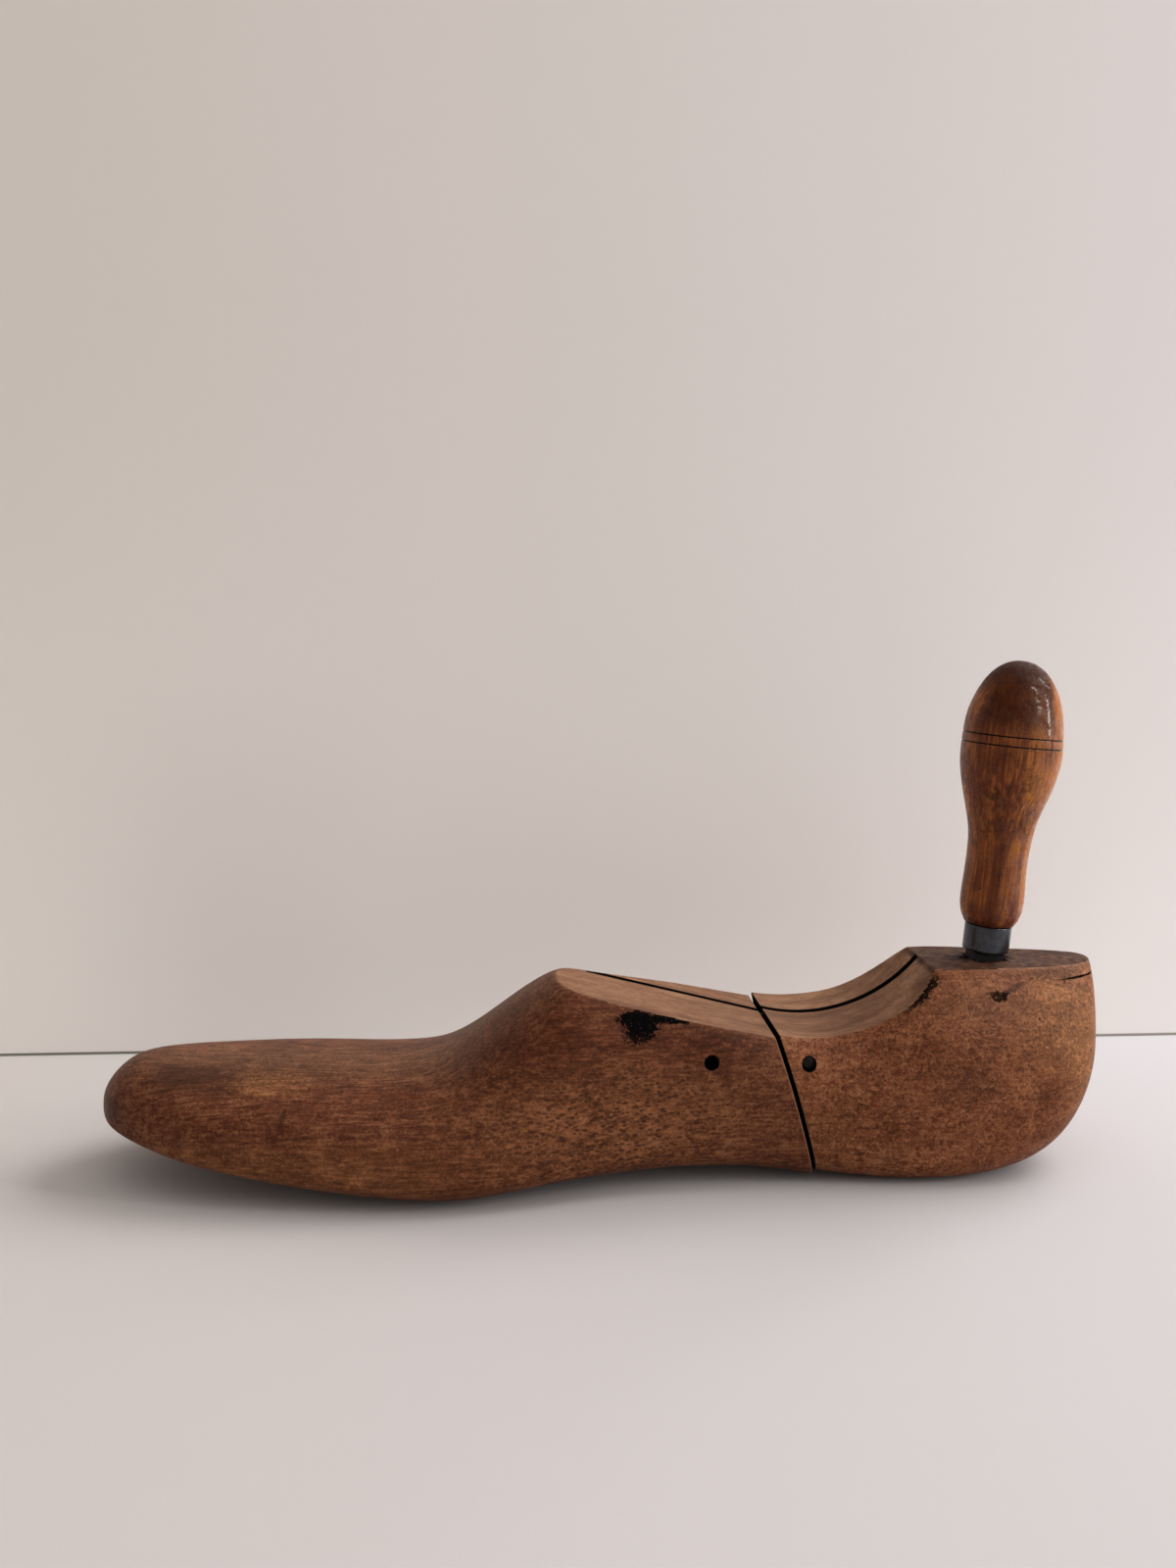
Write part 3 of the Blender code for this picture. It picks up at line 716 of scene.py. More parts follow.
FOREPART_MARKS: tuple[Mark, ...] = (
    # Greyish patch along the toe's top: painted sheen where the top catches the light
    Mark((0.0800, -0.008, 0.0365), (0.075, 0.015, 0.006), SHEEN_DRAB, 0.60, edge=1.6, ragged=0.8, grain=150.0),
    Mark((0.0265, -0.017, 0.0332), (0.011, 0.006, 0.004), UMBER, 0.80, edge=1.1, ragged=0.6, grain=260.0),
    Mark((0.0370, -0.0210, 0.0322), (0.012, 0.006, 0.004), UMBER, 0.55, edge=1.1, ragged=1.2, grain=350.0),
    # Pale tan flecks on the toe's upper inner edge: painted sheen
    Mark((0.0520, -0.0225, 0.0320), (0.0080, 0.006, 0.003), LIT_TAN, 0.42, edge=1.4, ragged=2.4, grain=1100.0),
    Mark((0.0065, -0.0185, 0.0240), (0.0035, 0.005, 0.0035), UMBER, 0.75, edge=1.0, ragged=0.8, grain=400.0),
    Mark((0.0120, -0.0243, 0.0176), (0.0025, 0.004, 0.0015), UMBER, 0.60, edge=1.0, ragged=0.9, grain=700.0),
    Mark((0.0590, -0.0345, 0.0265), (0.0007, 0.005, 0.0032), UMBER, 0.75, lean=0.3, edge=0.9, ragged=0.3,
         grain=500.0),
    Mark((0.1000, -0.0330, 0.0296), (0.0230, 0.010, 0.0004), RUST, 0.75, edge=1.2, ragged=0.5, grain=500.0),
    # Greyish patch on top of the instep: painted sheen
    Mark((0.1270, -0.010, 0.0540), (0.018, 0.013, 0.013), SHEEN_DRAB, 0.50, edge=1.5, ragged=0.8, grain=150.0),
    Mark((0.1195, -0.022, 0.0420), (0.018, 0.022, 0.015), RUST, 0.15, lean=0.5, edge=1.5, ragged=0.7,
         grain=60.0),
    Mark((0.1400, -0.030, 0.0430), (0.014, 0.020, 0.014), RUST, 0.35, lean=0.4, edge=1.5, ragged=0.7,
         grain=60.0),
    # Dark patch low on the ball's inner side: painted shade where the side turns away from the light
    Mark((0.1060, -0.040, 0.0150), (0.014, 0.020, 0.007), RUST, 0.45, edge=1.5, ragged=0.6, grain=90.0),
    Mark((0.1560, -0.030, 0.0450), (0.040, 0.022, 0.010), RUST, 0.30, edge=1.5, ragged=0.7, grain=90.0),
    # Golden band on the waist's inner side: painted light where the slope faces the window
    Mark((0.1500, -0.037, 0.0230), (0.036, 0.018, 0.014), GOLD, 0.62, edge=1.5, ragged=0.5, grain=60.0),
    Mark((0.0620, -0.040, 0.0110), (0.044, 0.020, 0.007), GOLD, 0.92, edge=1.6, ragged=0.5, grain=60.0),
    Mark((0.1608, -0.0300, 0.0500), (0.0052, 0.007, 0.0038), SOOT, 1.0, edge=0.15, ragged=1.2, grain=1400.0),
    Mark((0.1588, -0.0295, 0.0520), (0.0050, 0.007, 0.0020), SOOT, 1.0, edge=0.15, ragged=0.8, grain=1100.0),
    Mark((0.1690, -0.0285, 0.0512), (0.0066, 0.006, 0.0012), SOOT, 1.0, lean=0.12, edge=0.15, ragged=0.6,
         grain=900.0),
    Mark((0.1600, -0.0305, 0.0475), (0.0040, 0.006, 0.0024), SOOT, 0.9, edge=0.2, ragged=1.8, grain=1500.0),
)


# Dark patch round the mouth of the handle's socket on the heel's flat top: painted shade of the open socket
MORTISE_SHADE = Mark((0.2712, -0.0005, 0.0609), (0.0076, 0.0060, 0.0030), SOOT, 0.92, edge=0.4,
                     ragged=0.9, grain=500.0)


HEEL_MARKS: tuple[Mark, ...] = (
    # Tan patch on the back of the heel: painted light where the heel faces the window
    Mark((0.2930, -0.018, 0.0400), (0.017, 0.018, 0.024), LIT_TAN, 0.55, edge=1.5, ragged=0.6, grain=90.0),
    Mark((0.2570, -0.031, 0.0310), (0.009, 0.008, 0.006), UMBER, 0.35, edge=1.5, ragged=0.8, grain=150.0),
    Mark((0.2830, -0.029, 0.0270), (0.006, 0.008, 0.009), RUST, 0.50, lean=0.5, edge=1.4, ragged=0.8,
         grain=150.0),
    Mark((0.2130, -0.030, 0.0150), (0.013, 0.012, 0.010), GOLD, 0.30, edge=1.5, ragged=0.6, grain=80.0),
    # Lighter orange fibres by the top edge: the wood's own fibres with a painted highlight
    Mark((0.2470, -0.021, 0.0540), (0.012, 0.010, 0.0045), GOLD, 0.45, edge=1.3, ragged=1.1, grain=350.0),
    Mark((0.2900, -0.013, 0.0594), (0.011, 0.012, 0.0013), UMBER, 0.50, edge=0.8, ragged=0.6, grain=300.0),
    Mark((0.2965, -0.011, 0.0576), (0.0080, 0.014, 0.00032), SOOT, 1.0, lean=-0.02, edge=0.6, ragged=0.5,
         grain=350.0),
    Mark((0.2911, -0.0158, 0.0573), (0.0002, 0.004, 0.0010), SOOT, 0.8, lean=0.3, edge=0.6, ragged=0.4,
         grain=500.0),
    Mark((0.2640, -0.0200, 0.0520), (0.014, 0.010, 0.0050), UMBER, 0.34, edge=1.5, ragged=0.8, grain=300.0),
    Mark((0.2685, -0.0222, 0.0545), (0.0030, 0.004, 0.0013), SOOT, 0.90, edge=0.4, ragged=1.6, grain=700.0),
    Mark((0.2740, -0.0205, 0.0562), (0.0040, 0.004, 0.0008), UMBER, 0.70, lean=-0.4, edge=0.6, ragged=1.4,
         grain=700.0),
    Mark((0.2485, -0.0180, 0.0572), (0.0034, 0.006, 0.0013), SOOT, 0.95, lean=-0.6, edge=0.5, ragged=1.6,
         grain=1250.0),
    Mark((0.2450, -0.0200, 0.0545), (0.0042, 0.008, 0.0013), SOOT, 0.95, lean=-0.6, edge=0.5, ragged=1.6,
         grain=1250.0),
    Mark((0.2415, -0.0210, 0.0520), (0.0034, 0.008, 0.0010), UMBER, 0.80, lean=-0.6, edge=0.7, ragged=1.6,
         grain=650.0),
    Mark((0.2800, -0.0248, 0.0480), (0.0005, 0.003, 0.0005), SOOT, 0.80, edge=0.6),
    Mark((0.2600, -0.0320, 0.0070), (0.0005, 0.010, 0.0005), SOOT, 0.60, edge=0.6),
)


class Grain:
    """Layers of noise in the last's wood, from fine fibres to broad clouds, and the tone they add up to."""

    def __init__(self, graph: Graph, streak: float) -> None:
        """Lay the layers along a gently bent X axis.

        Args:
            graph: the material's nodes.
            streak: share of the fibres in the tone. The curls take what the fibres leave.
        """
        sway = graph.add("ShaderNodeTexNoise", Vector=graph.place, Scale=28.0, Detail=2.0)
        bend = graph.vector("MULTIPLY", sway.outputs["Color"], (0.006, 0.0022, 0.0022))
        self.along = graph.vector("ADD", graph.place, bend.outputs[0]).outputs[0]
        self.fibre = graph.noise(1.0, 5.0, 0.66, graph.stretched((120.0, 1050.0, 1050.0), source=self.along))
        self.bands = graph.noise(1.0, 4.0, 0.55, graph.stretched((14.0, 170.0, 170.0), source=self.along))
        self.clouds = graph.noise(32.0, 5.0, 0.6)
        self.curls = graph.noise(560.0, 5.0, 0.68, swirl=2.0)
        mottle = graph.noise(150.0, 4.0, 0.65, swirl=0.8)
        fine = streak * self.fibre + (0.64 - streak) * self.curls
        self.tone = fine + 0.10 * self.bands + 0.12 * self.clouds + 0.14 * mottle


@dataclass(frozen=True)
class LastWood:
    """Old, oiled and handled wood of the last, its grain along X."""

    name: str
    shift: Vector
    marks: tuple[Mark, ...]
    hollows: tuple[Hollow, ...]
    flecks: Mark
    lines: Mark
    dark: Colour = (0.039, 0.0094, 0.0038)
    middle: Colour = (0.098, 0.0282, 0.0128)
    light: Colour = (0.198, 0.079, 0.036)
    pore: Colour = (0.030, 0.009, 0.005)
    sawn_dark: Colour = (0.105, 0.043, 0.021)
    sawn_middle: Colour = (0.225, 0.110, 0.058)
    sawn_light: Colour = (0.320, 0.175, 0.100)
    sawn_grey: Colour = (0.032, 0.0100, 0.0060)
    # Marks painted black as shade
    shade_marks: tuple[Mark, ...] = ()
    streak: float = 0.32
    tones: tuple[float, ...] = (0.43, 0.50, 0.57)
    sawn_tones: tuple[float, ...] = (0.36, 0.50, 0.62)
    grey_above: tuple[float, float] = (0.0590, 0.0603)
    grey_behind: tuple[float, float] = (0.0950, 0.0985)
    # Reach of the painted shade in the hollows, and of the painted highlight beside the break
    hollow_shade_edge: tuple[float, float] = (0.00016, 0.00002)
    highlight_edge: tuple[float, float] = (0.00070, 0.00035)
    relief: float = 0.00011
    shine: float = 0.12
    shine_tint: tuple[float, ...] = (1.0, 0.80, 0.62, 1.0)

    def laid(self, graph: Graph, marks: tuple[Mark, ...]) -> Value | float:
        """Where any of these marks lies.

        Args:
            graph: the material's nodes.
            marks: the marks.

        Returns:
            The share, or 0.
        """
        total: Value | float = 0.0
        for mark in marks:
            total = mark.mask(graph, self.shift) | total
        return total

    def oiled(self, graph: Graph, grain: Grain) -> Socket:
        """Colour of the turned wood: its tone, pale hairs, old marks and patches of painted light and shade
        that keep the grain, dark strands.

        Args:
            graph: the material's nodes.
            grain: the wood's grain.

        Returns:
            The colour socket.
        """
        colour = graph.ramp(grain.tone, self.tones, self.dark, self.middle, self.light)
        hairs = graph.noise(1.0, 3.0, 0.6, graph.stretched((75.0, 210.0, 210.0), (0.0, 0.35, 0.0)), 1.2)
        colour = graph.mix(graph.steps(abs(hairs - 0.5), 0.010, 0.002) * 0.35, colour, self.light)
        grainy = graph.ramp(grain.tone, self.tones, (0.50, 0.46, 0.44), (0.95, 0.95, 0.95),
                            (1.60, 1.65, 1.70))
        for mark in self.marks:
            if mark.colour != SOOT:
                tinted = graph.mix(1.0, grainy, mark.colour, "MULTIPLY")
                colour = graph.mix(mark.mask(graph, self.shift), colour, tinted)
        strands = graph.noise(1.0, 2.0, 0.5, graph.stretched((24.0, 1300.0, 1300.0), source=grain.along))
        strands = graph.steps(strands, 0.52, 0.36) * self.lines.mask(graph, self.shift)
        return graph.mix(strands, colour, self.pore)

    def pores(self, graph: Graph) -> Value:
        """Where the pores are: short dashes in the flecked part, fine specks all over.

        Args:
            graph: the material's nodes.

        Returns:
            The share.
        """
        cells = graph.add("ShaderNodeTexVoronoi", Scale=1.0, Randomness=1.0,
                          Vector=graph.stretched((560.0, 400.0, 1050.0), (0.0, 0.45, 0.0)))
        chance = graph.add("ShaderNodeSeparateColor", Color=cells.outputs["Color"]).outputs[0]
        dashes = graph.steps(cells.outputs["Distance"], 0.60, 0.36) * graph.steps(chance, 0.05, 0.60)
        specks = graph.steps(graph.noise(1300.0, 2.0, 0.5), 0.40, 0.30) * 0.45
        return dashes * self.flecks.mask(graph, self.shift) | specks

    def sawn(self, graph: Graph, grain: Grain) -> Socket:
        """Colour of the sawn faces: pale and streaked, but grey with wear on the heel's flat top.

        Args:
            graph: the material's nodes.
            grain: the wood's grain.

        Returns:
            The colour socket.
        """
        tone = 0.5 * grain.clouds + 0.5 * grain.bands
        colour = graph.ramp(tone, self.sawn_tones, self.sawn_dark, self.sawn_middle, self.sawn_light)
        colour = graph.mix(graph.steps(grain.fibre, 0.54, 0.40) * 0.6, colour, self.sawn_dark)
        colour = graph.mix(graph.steps(grain.curls, 0.50, 0.34) * 0.5, colour, self.sawn_dark)
        x, _, z = graph.axes()
        flat_top = graph.steps(z, *self.grey_above) * graph.steps(x, *self.grey_behind) * 0.95
        patches = graph.steps(graph.noise(210.0, 5.0, 0.7, swirl=1.0), 0.62, 0.40)
        return graph.mix(flat_top * (patches * 0.45 + 0.62), colour, self.sawn_grey)

    def walls(self, graph: Graph) -> tuple[Value | float, Value | float]:
        """Where the walls of the hollows are painted dark as shade, and where the wood beside them is
        painted pale as a highlight on its edge.

        Args:
            graph: the material's nodes.

        Returns:
            Both shares.
        """
        hollow_shade: Value | float = 0.0
        edge_highlight: Value | float = 0.0
        for hollow in self.hollows:
            beyond = hollow.depth(graph, self.shift) - hollow.wall
            # Walls painted dark as shade, and the wood beside the break painted pale as a highlight
            hollow_shade = graph.steps(beyond, *self.hollow_shade_edge) | hollow_shade
            edge_highlight = graph.steps(beyond, *self.highlight_edge) * hollow.pale | edge_highlight
        return hollow_shade, edge_highlight

    def soot(self, graph: Graph, flat: Value) -> Value:
        """Where the turned wood is blackened, less the bright scratches through it.

        Args:
            graph: the material's nodes.
            flat: where the sawn faces are.

        Returns:
            The share.
        """
        scratch = graph.steps(graph.noise(650.0, 2.0, 0.5, swirl=3.0), 0.65, 0.68)
        black = self.laid(graph, tuple(mark for mark in self.marks if mark.colour == SOOT))
        return black * (1.0 - scratch) * (1.0 - flat)

    def material(self) -> Material:
        """Build the material: oiled wood and pores, sawn faces, a painted highlight on their rims and beside
        the break, then soot and painted shade over all.

        Returns:
            The material.
        """
        graph = Graph(bpy.data.materials.new(self.name))
        grain = Grain(graph, self.streak)
        pores = self.pores(graph)
        flat = graph.attribute("sawn")
        hollow_shade, edge_highlight = self.walls(graph)
        colour = graph.mix(pores, self.oiled(graph, grain), self.pore)
        colour = graph.mix(flat, colour, self.sawn(graph, grain))
        # Painted highlight along the rim of the heel's flat top
        colour = graph.mix(graph.attribute("rim") * 0.35, colour, self.sawn_middle)
        # Painted highlight on the wood beside the break
        colour = graph.mix(edge_highlight, colour, self.sawn_middle)
        # Real soot, with painted shade round the mortise's mouth and in the hollows, all in black
        black = self.soot(graph, flat) | self.laid(graph, self.shade_marks) | hollow_shade
        rough = grain.clouds * 0.22 + flat * 0.12 + 0.40 | black
        relief = grain.fibre * 0.9 + grain.curls * 0.5 - pores * 0.9
        return graph.finish(graph.mix(black, colour, SOOT), rough, relief, self.relief,
                            Specular_IOR_Level=self.shine * (1.0 - black), Specular_Tint=self.shine_tint)


@dataclass(frozen=True)
class GripWood:
    """Turned wood of the handle, polished by the hand, its grain along the handle's axis."""

    place: Matrix
    ring_heights: tuple[float, float]
    foot: float
    top: float
    dark: Colour = (0.042, 0.008, 0.0032)
    middle: Colour = (0.140, 0.037, 0.0160)
    light: Colour = (0.430, 0.142, 0.024)
    # Dark colour of the grime, also used for the painted shade at the grip's foot
    grime_and_shade: Colour = (0.030, 0.010, 0.006)
    worn: Colour = (0.038, 0.018, 0.013)
    tones: tuple[float, ...] = (0.36, 0.49, 0.63)
    # Where the right flank starts to be painted lighter, as the window's light falls on it
    belly: tuple[float, ...] = (0.028, 0.044, 0.055, 0.072)
    lit_flank: tuple[float, float] = (0.0075, 0.0145)
    left_flank: tuple[float, float] = (-0.0130, -0.0185)
    palm_side: tuple[float, float] = (-0.0030, 0.0015)
    uneven: float = 0.008
    line_edge: tuple[float, float] = (0.00030, 0.00014)
    relief: float = 0.00014
    shine_tint: tuple[float, ...] = (1.0, 0.66, 0.40, 1.0)

    def handled(self, graph: Graph, own: Socket, tone: Value, flaws: Value) -> Socket:
        """Colour of the streaked wood, dirtied in patches on the belly and in the flaws.

        Args:
            graph: the material's nodes.
            own: place in the handle's own frame.
            tone: how light the wood is.
            flaws: where the wood is nicked.

        Returns:
            The colour socket.
        """
        _, _, height = graph.axes(own)
        colour = graph.ramp(tone, self.tones, self.dark, self.middle, self.light)
        patches = graph.steps(graph.noise(170.0, 5.0, 0.68, own, 0.6), 0.50, 0.66)
        low, full, fading, high = self.belly
        belly = graph.steps(height, low, full) * graph.steps(height, high, fading)
        colour = graph.mix(patches * (belly * 0.45 + 0.25), colour, self.grime_and_shade)
        return graph.mix(flaws * 0.75, colour, self.grime_and_shade)

    def shaded(self, graph: Graph, colour: Socket, tone: Value, bands: Value,
               place: tuple[Value, Value, Value]) -> Socket:
        """Colour with a right flank painted lighter, as the window's light falls on it, and a dark head
        between the flanks.

        Args:
            graph: the material's nodes.
            colour: colour so far.
            tone: how light the wood is.
            bands: broad streaks, which make the flanks' edges uneven.
            place: X, Y and Z in the handle's own frame.

        Returns:
            The colour socket.
        """
        x, _, height = place
        # Painted light: the right flank turns to lighter streaks
        right = graph.steps(x + bands * self.uneven, *self.lit_flank)
        left = graph.steps(x - bands * self.uneven, *self.left_flank)
        streaked = graph.mix(graph.steps(tone, 0.36, 0.53), self.middle, self.light)
        colour = graph.mix(right * 0.80, colour, streaked)
        head = graph.steps(height, self.ring_heights[0], self.ring_heights[0] + 0.006)
        return graph.mix(head * (1.0 - (right | left)) * 0.82, colour, self.dark)

    def polish(self, graph: Graph, own: Socket, x: Value) -> Value:
        """Where a broken film of polish is left, most of it on the side that the palm rubs.

        Args:
            graph: the material's nodes.
            own: place in the handle's own frame.
            x: X of that place.

        Returns:
            The share.
        """
        film = graph.steps(graph.noise(420.0, 4.0, 0.7, own, 0.8), 0.46, 0.55)
        return film * (graph.steps(x, *self.palm_side) * 0.46 + 0.08)

    def material(self) -> Material:
        """Build the material: streaks, mottling, a flank of painted light, a worn dome, painted shade at the
        foot, scribed lines and a cracked polish.

        Returns:
            The material.
        """
        graph = Graph(bpy.data.materials.new("grip_wood"))
        mapped = graph.add("ShaderNodeMapping", Vector=graph.place, Location=self.place.translation,
                           Rotation=self.place.to_euler())
        mapped.vector_type = "TEXTURE"
        own = mapped.outputs[0]
        place = graph.axes(own)
        x, _, height = place
        fibre = graph.noise(1.0, 5.0, 0.62, graph.stretched((1300.0, 1300.0, 60.0), source=own))
        bands = graph.noise(1.0, 3.0, 0.55, graph.stretched((210.0, 210.0, 13.0), source=own))
        tone = 0.36 * fibre + 0.36 * bands + 0.28 * graph.noise(95.0, 5.0, 0.62, own)
        flaws = graph.steps(graph.noise(520.0, 3.0, 0.6, own, 2.5), 0.345, 0.30)
        cracks = graph.steps(graph.noise(330.0, 5.0, 0.7, own, 1.5), 0.35, 0.65)
        uneven = height + graph.noise(260.0, 4.0, 0.65, own) * 0.012
        dome = graph.steps(uneven, self.top - 0.0045, self.top + 0.0035)
        dull = graph.steps(height, self.top - 0.024, self.top - 0.006)
        colour = self.shaded(graph, self.handled(graph, own, tone, flaws), tone, bands, place)
        colour = graph.mix(dome * 0.60, colour, self.worn)
        # Painted shade in a thin band where the grip meets the ferrule
        colour = graph.mix(graph.steps(height, self.foot + 0.0016, self.foot) * 0.70, colour, self.grime_and_shade)
        for ring in self.ring_heights:
            colour = graph.mix(graph.steps(abs(height - ring), *self.line_edge), colour, SOOT)
        rough = cracks * 0.22 + dome * 0.20 + 0.20
        relief = cracks * 0.8 + fibre * 0.6 - flaws * 0.5
        return graph.finish(
            colour, rough, relief, self.relief, Specular_IOR_Level=0.20 - dull * 0.15,
            Specular_Tint=self.shine_tint, Coat_Weight=self.polish(graph, own, x), Coat_Roughness=0.13,
            Coat_IOR=1.4)


@dataclass(frozen=True)
class Steel:
    """Dark worn steel or black iron, with cloudy oxide and fine scratches."""

    name: str
    dark: Colour
    bright: Colour
    rough: float
    scale: float
    depth: float
    metal: float = 1.0
    rust: Colour = (0.045, 0.022, 0.014)
    rust_share: float = 0.25

    def material(self) -> Material:
        """Build the material.

        Returns:
            The material.
        """
        graph = Graph(bpy.data.materials.new(self.name))
        clouds = graph.noise(self.scale, 5.0, 0.65)
        lines = graph.noise(1.0, 3.0, 0.6, graph.stretched((2600.0, 2600.0, 300.0)))
        colour = graph.ramp(lines * 0.35 + clouds * 0.65, (0.36, 0.64), self.dark, self.bright)
        brown = graph.steps(graph.noise(self.scale * 2.3, 4.0, 0.7), 0.56, 0.66) * self.rust_share
        rough = clouds * 0.2 + brown * 0.5 + (self.rough - 0.1)
        return graph.finish(graph.mix(brown, colour, self.rust), rough, lines * 0.4 + clouds, self.depth,
                            Metallic=self.metal)


HINGE_STEEL = Steel("hinge_steel", (0.008, 0.007, 0.0065), (0.028, 0.026, 0.025), 0.5, 900.0, 0.00002)
FERRULE_STEEL = Steel("ferrule_steel", (0.036, 0.037, 0.042), (0.092, 0.095, 0.105), 0.26, 130.0, 0.000006,
                      rust_share=0.05)
TANG_IRON = Steel("tang_iron", (0.003, 0.0025, 0.0025), (0.012, 0.010, 0.010), 0.65, 500.0, 0.00006,
                  metal=0.5, rust=(0.016, 0.008, 0.006), rust_share=0.35)


# The last


class Line(Enum):
    """The lines that give the last its form."""

    SOLE = "height of the sole"
    CREST = "height of the turned crest"
    MEDIAL = "reach to the inner side"
    LATERAL = "reach to the outer side"
    RIDGE = "side shift of the crest"
    GIRTH = "height of the widest line"
    INNER = "fullness of the upper inner quarter"
    OUTER = "fullness of the upper outer quarter"
    UNDER = "fullness of the sole"


@dataclass
class LastShape:
    """Sizes of the turned and sawn body of the last, with the toe at x = 0."""

    length: float = 0.305
    ball_medial: float = 0.0436
    ball_lateral: float = 0.0456
    waist_medial: float = 0.0302
    waist_lateral: float = 0.0318
    heel_half_width: float = 0.0326
    toe_depth: float = 0.0345
    instep_height: float = 0.0611
    cone_height: float = 0.0649
    toe_spring: float = 0.0125
    arch_rise: float = 0.0039
    tread_depth: float = 0.0003
    tip_height: float = 0.0208
    tip_offset: float = 0.0030
    back_height: float = 0.0446
    girth_height: float = 0.0200
    ridge_offset: float = 0.0095
    heel_top: float = 0.0597
    saddle_height: float = 0.0421
    saddle_at: float = 0.2140
    saddle_radius: float = 0.0480
    saddle_slope: float = math.radians(14.0)
    sawn_reach: float = 0.0770
    break_top: float = 0.2013
    break_slant: float = math.radians(17.3)
    break_radius: float = 0.6200
    break_gap: float = 0.0008
    heel_step: float = 0.0012
    worn_edge: float = 0.0007
    hand_wave: float = 0.00005
    hand_depth: float = 0.00021
    broken_edge: float = 0.00035
    around_top: int = 56
    around_side: int = 208
    lines: dict[Line, SmoothLine] = field(init=False)

    def __post_init__(self) -> None:
        """Work out the lines, each smooth in the cosine angle that bunches places at both ends."""
        medial, lateral, heel = self.ball_medial, self.ball_lateral, self.heel_half_width
        inner_waist, outer_waist = self.waist_medial, self.waist_lateral
        spring, arch, back = self.toe_spring, self.arch_rise, self.back_height
        toe, instep, cone = self.toe_depth, self.instep_height, self.cone_height
        girth, ridge, tip, offset = self.girth_height, self.ridge_offset, self.tip_height, self.tip_offset
        tread, worn = -self.tread_depth, -self.heel_step - self.tread_depth
        heel_end = scaled(heel, (0.790, 1.0), (0.860, 1.0), (0.902, 0.955), (0.944, 0.845),
                          (0.970, 0.685), (0.987, 0.490), (0.9967, 0.265), (1.0, 0.0))
        tables: dict[Line, Points] = {
            Line.SOLE: (
                (0.0, tip),
                *scaled(spring, (0.010, 1.46), (0.033, 1.22), (0.060, 1.02), (0.110, 0.73), (0.160, 0.52),
                        (0.210, 0.35), (0.260, 0.19), (0.300, 0.06)),
                (0.332, tread), (0.372, tread),
                *scaled(arch, (0.410, 0.32), (0.475, 0.77), (0.540, 0.98), (0.600, 1.0), (0.655, 0.66),
                        (0.695, 0.14)),
                (0.740, -0.75 * self.heel_step), (0.790, worn), (0.860, worn), (0.905, 0.0),
                *scaled(back, (0.944, 0.100), (0.970, 0.260), (0.987, 0.470), (0.9967, 0.720),
                        (1.0, 1.0))),
            Line.CREST: (
                (0.0, tip),
                *scaled(toe, (0.010, 0.845), (0.030, 0.995), (0.066, 1.027), (0.130, 1.010),
                        (0.230, 0.980), (0.305, 0.985)),
                *scaled(instep, (0.336, 0.590), (0.384, 0.750), (0.431, 0.940), (0.453, 0.997),
                        (0.480, 1.006), (0.530, 1.0), (0.590, 0.980), (0.660, 0.940)),
                *scaled(cone, (0.740, 0.900), (0.813, 0.980), (0.860, 1.0), (0.920, 1.0), (0.960, 0.995),
                        (0.981, 0.985), (0.9934, 0.960), (0.9983, 0.880)),
                (1.0, back)),
            Line.MEDIAL: (
                (0.0, offset),
                *scaled(medial, (0.0033, 0.17), (0.0164, 0.37), (0.033, 0.50), (0.066, 0.66),
                        (0.108, 0.79), (0.157, 0.87), (0.210, 0.93), (0.270, 0.98), (0.335, 1.0),
                        (0.400, 0.965), (0.475, 0.850)),
                *scaled(inner_waist, (0.530, 1.100), (0.610, 1.015), (0.690, 1.005)),
                *heel_end),
            Line.LATERAL: (
                (0.0, -offset),
                *scaled(lateral, (0.0033, 0.06), (0.0164, 0.26), (0.033, 0.395), (0.066, 0.580),
                        (0.108, 0.71), (0.157, 0.81), (0.210, 0.89), (0.280, 0.965), (0.355, 1.0),
                        (0.410, 0.985), (0.475, 0.915)),
                *scaled(outer_waist, (0.530, 1.200), (0.610, 1.045), (0.695, 1.0)),
                *heel_end),
            Line.RIDGE: (
                (0.0, -offset), (0.150, -offset),
                *scaled(ridge, (0.280, -0.35), (0.380, -0.65), (0.450, -1.0), (0.505, -0.98),
                        (0.570, -0.55), (0.660, -0.16), (0.740, 0.10)),
                (0.860, 0.0), (1.0, 0.0)),
            Line.GIRTH: (
                (0.0, tip),
                *scaled(girth, (0.060, 0.88), (0.160, 0.79), (0.270, 0.70), (0.340, 0.69), (0.400, 0.74),
                        (0.475, 0.84), (0.610, 1.0), (0.700, 1.0), (0.800, 0.95), (0.900, 1.05),
                        (0.960, 1.35)),
                (1.0, back)),
            Line.INNER: (
                (0.0, 2.0), (0.25, 2.1), (0.36, 1.9), (0.43, 2.2), (0.47, 2.8), (0.54, 3.3), (0.60, 3.2),
                (0.64, 2.5), (0.685, 2.0), (0.74, 1.75), (0.80, 2.05), (0.86, 2.0), (0.92, 1.85),
                (1.0, 1.8)),
            Line.OUTER: (
                (0.0, 2.0), (0.25, 2.1), (0.36, 1.85), (0.45, 1.7), (0.49, 1.55), (0.60, 1.52),
                (0.66, 1.62), (0.70, 1.72), (0.75, 1.62), (0.83, 2.05), (0.88, 1.9), (0.93, 1.72),
                (1.0, 1.7)),
            Line.UNDER: (
                (0.0, 2.0), (0.06, 2.6), (0.15, 3.6), (0.25, 4.2), (0.35, 3.8), (0.45, 3.8), (0.60, 4.4),
                (0.70, 4.8), (0.80, 5.4), (0.88, 4.0), (0.95, 2.6), (1.0, 2.0)),
        }
        angle = {line: tuple((math.acos(1.0 - 2.0 * at), size) for at, size in points)
                 for line, points in tables.items()}
        self.lines = {line: SmoothLine(points) for line, points in angle.items()}

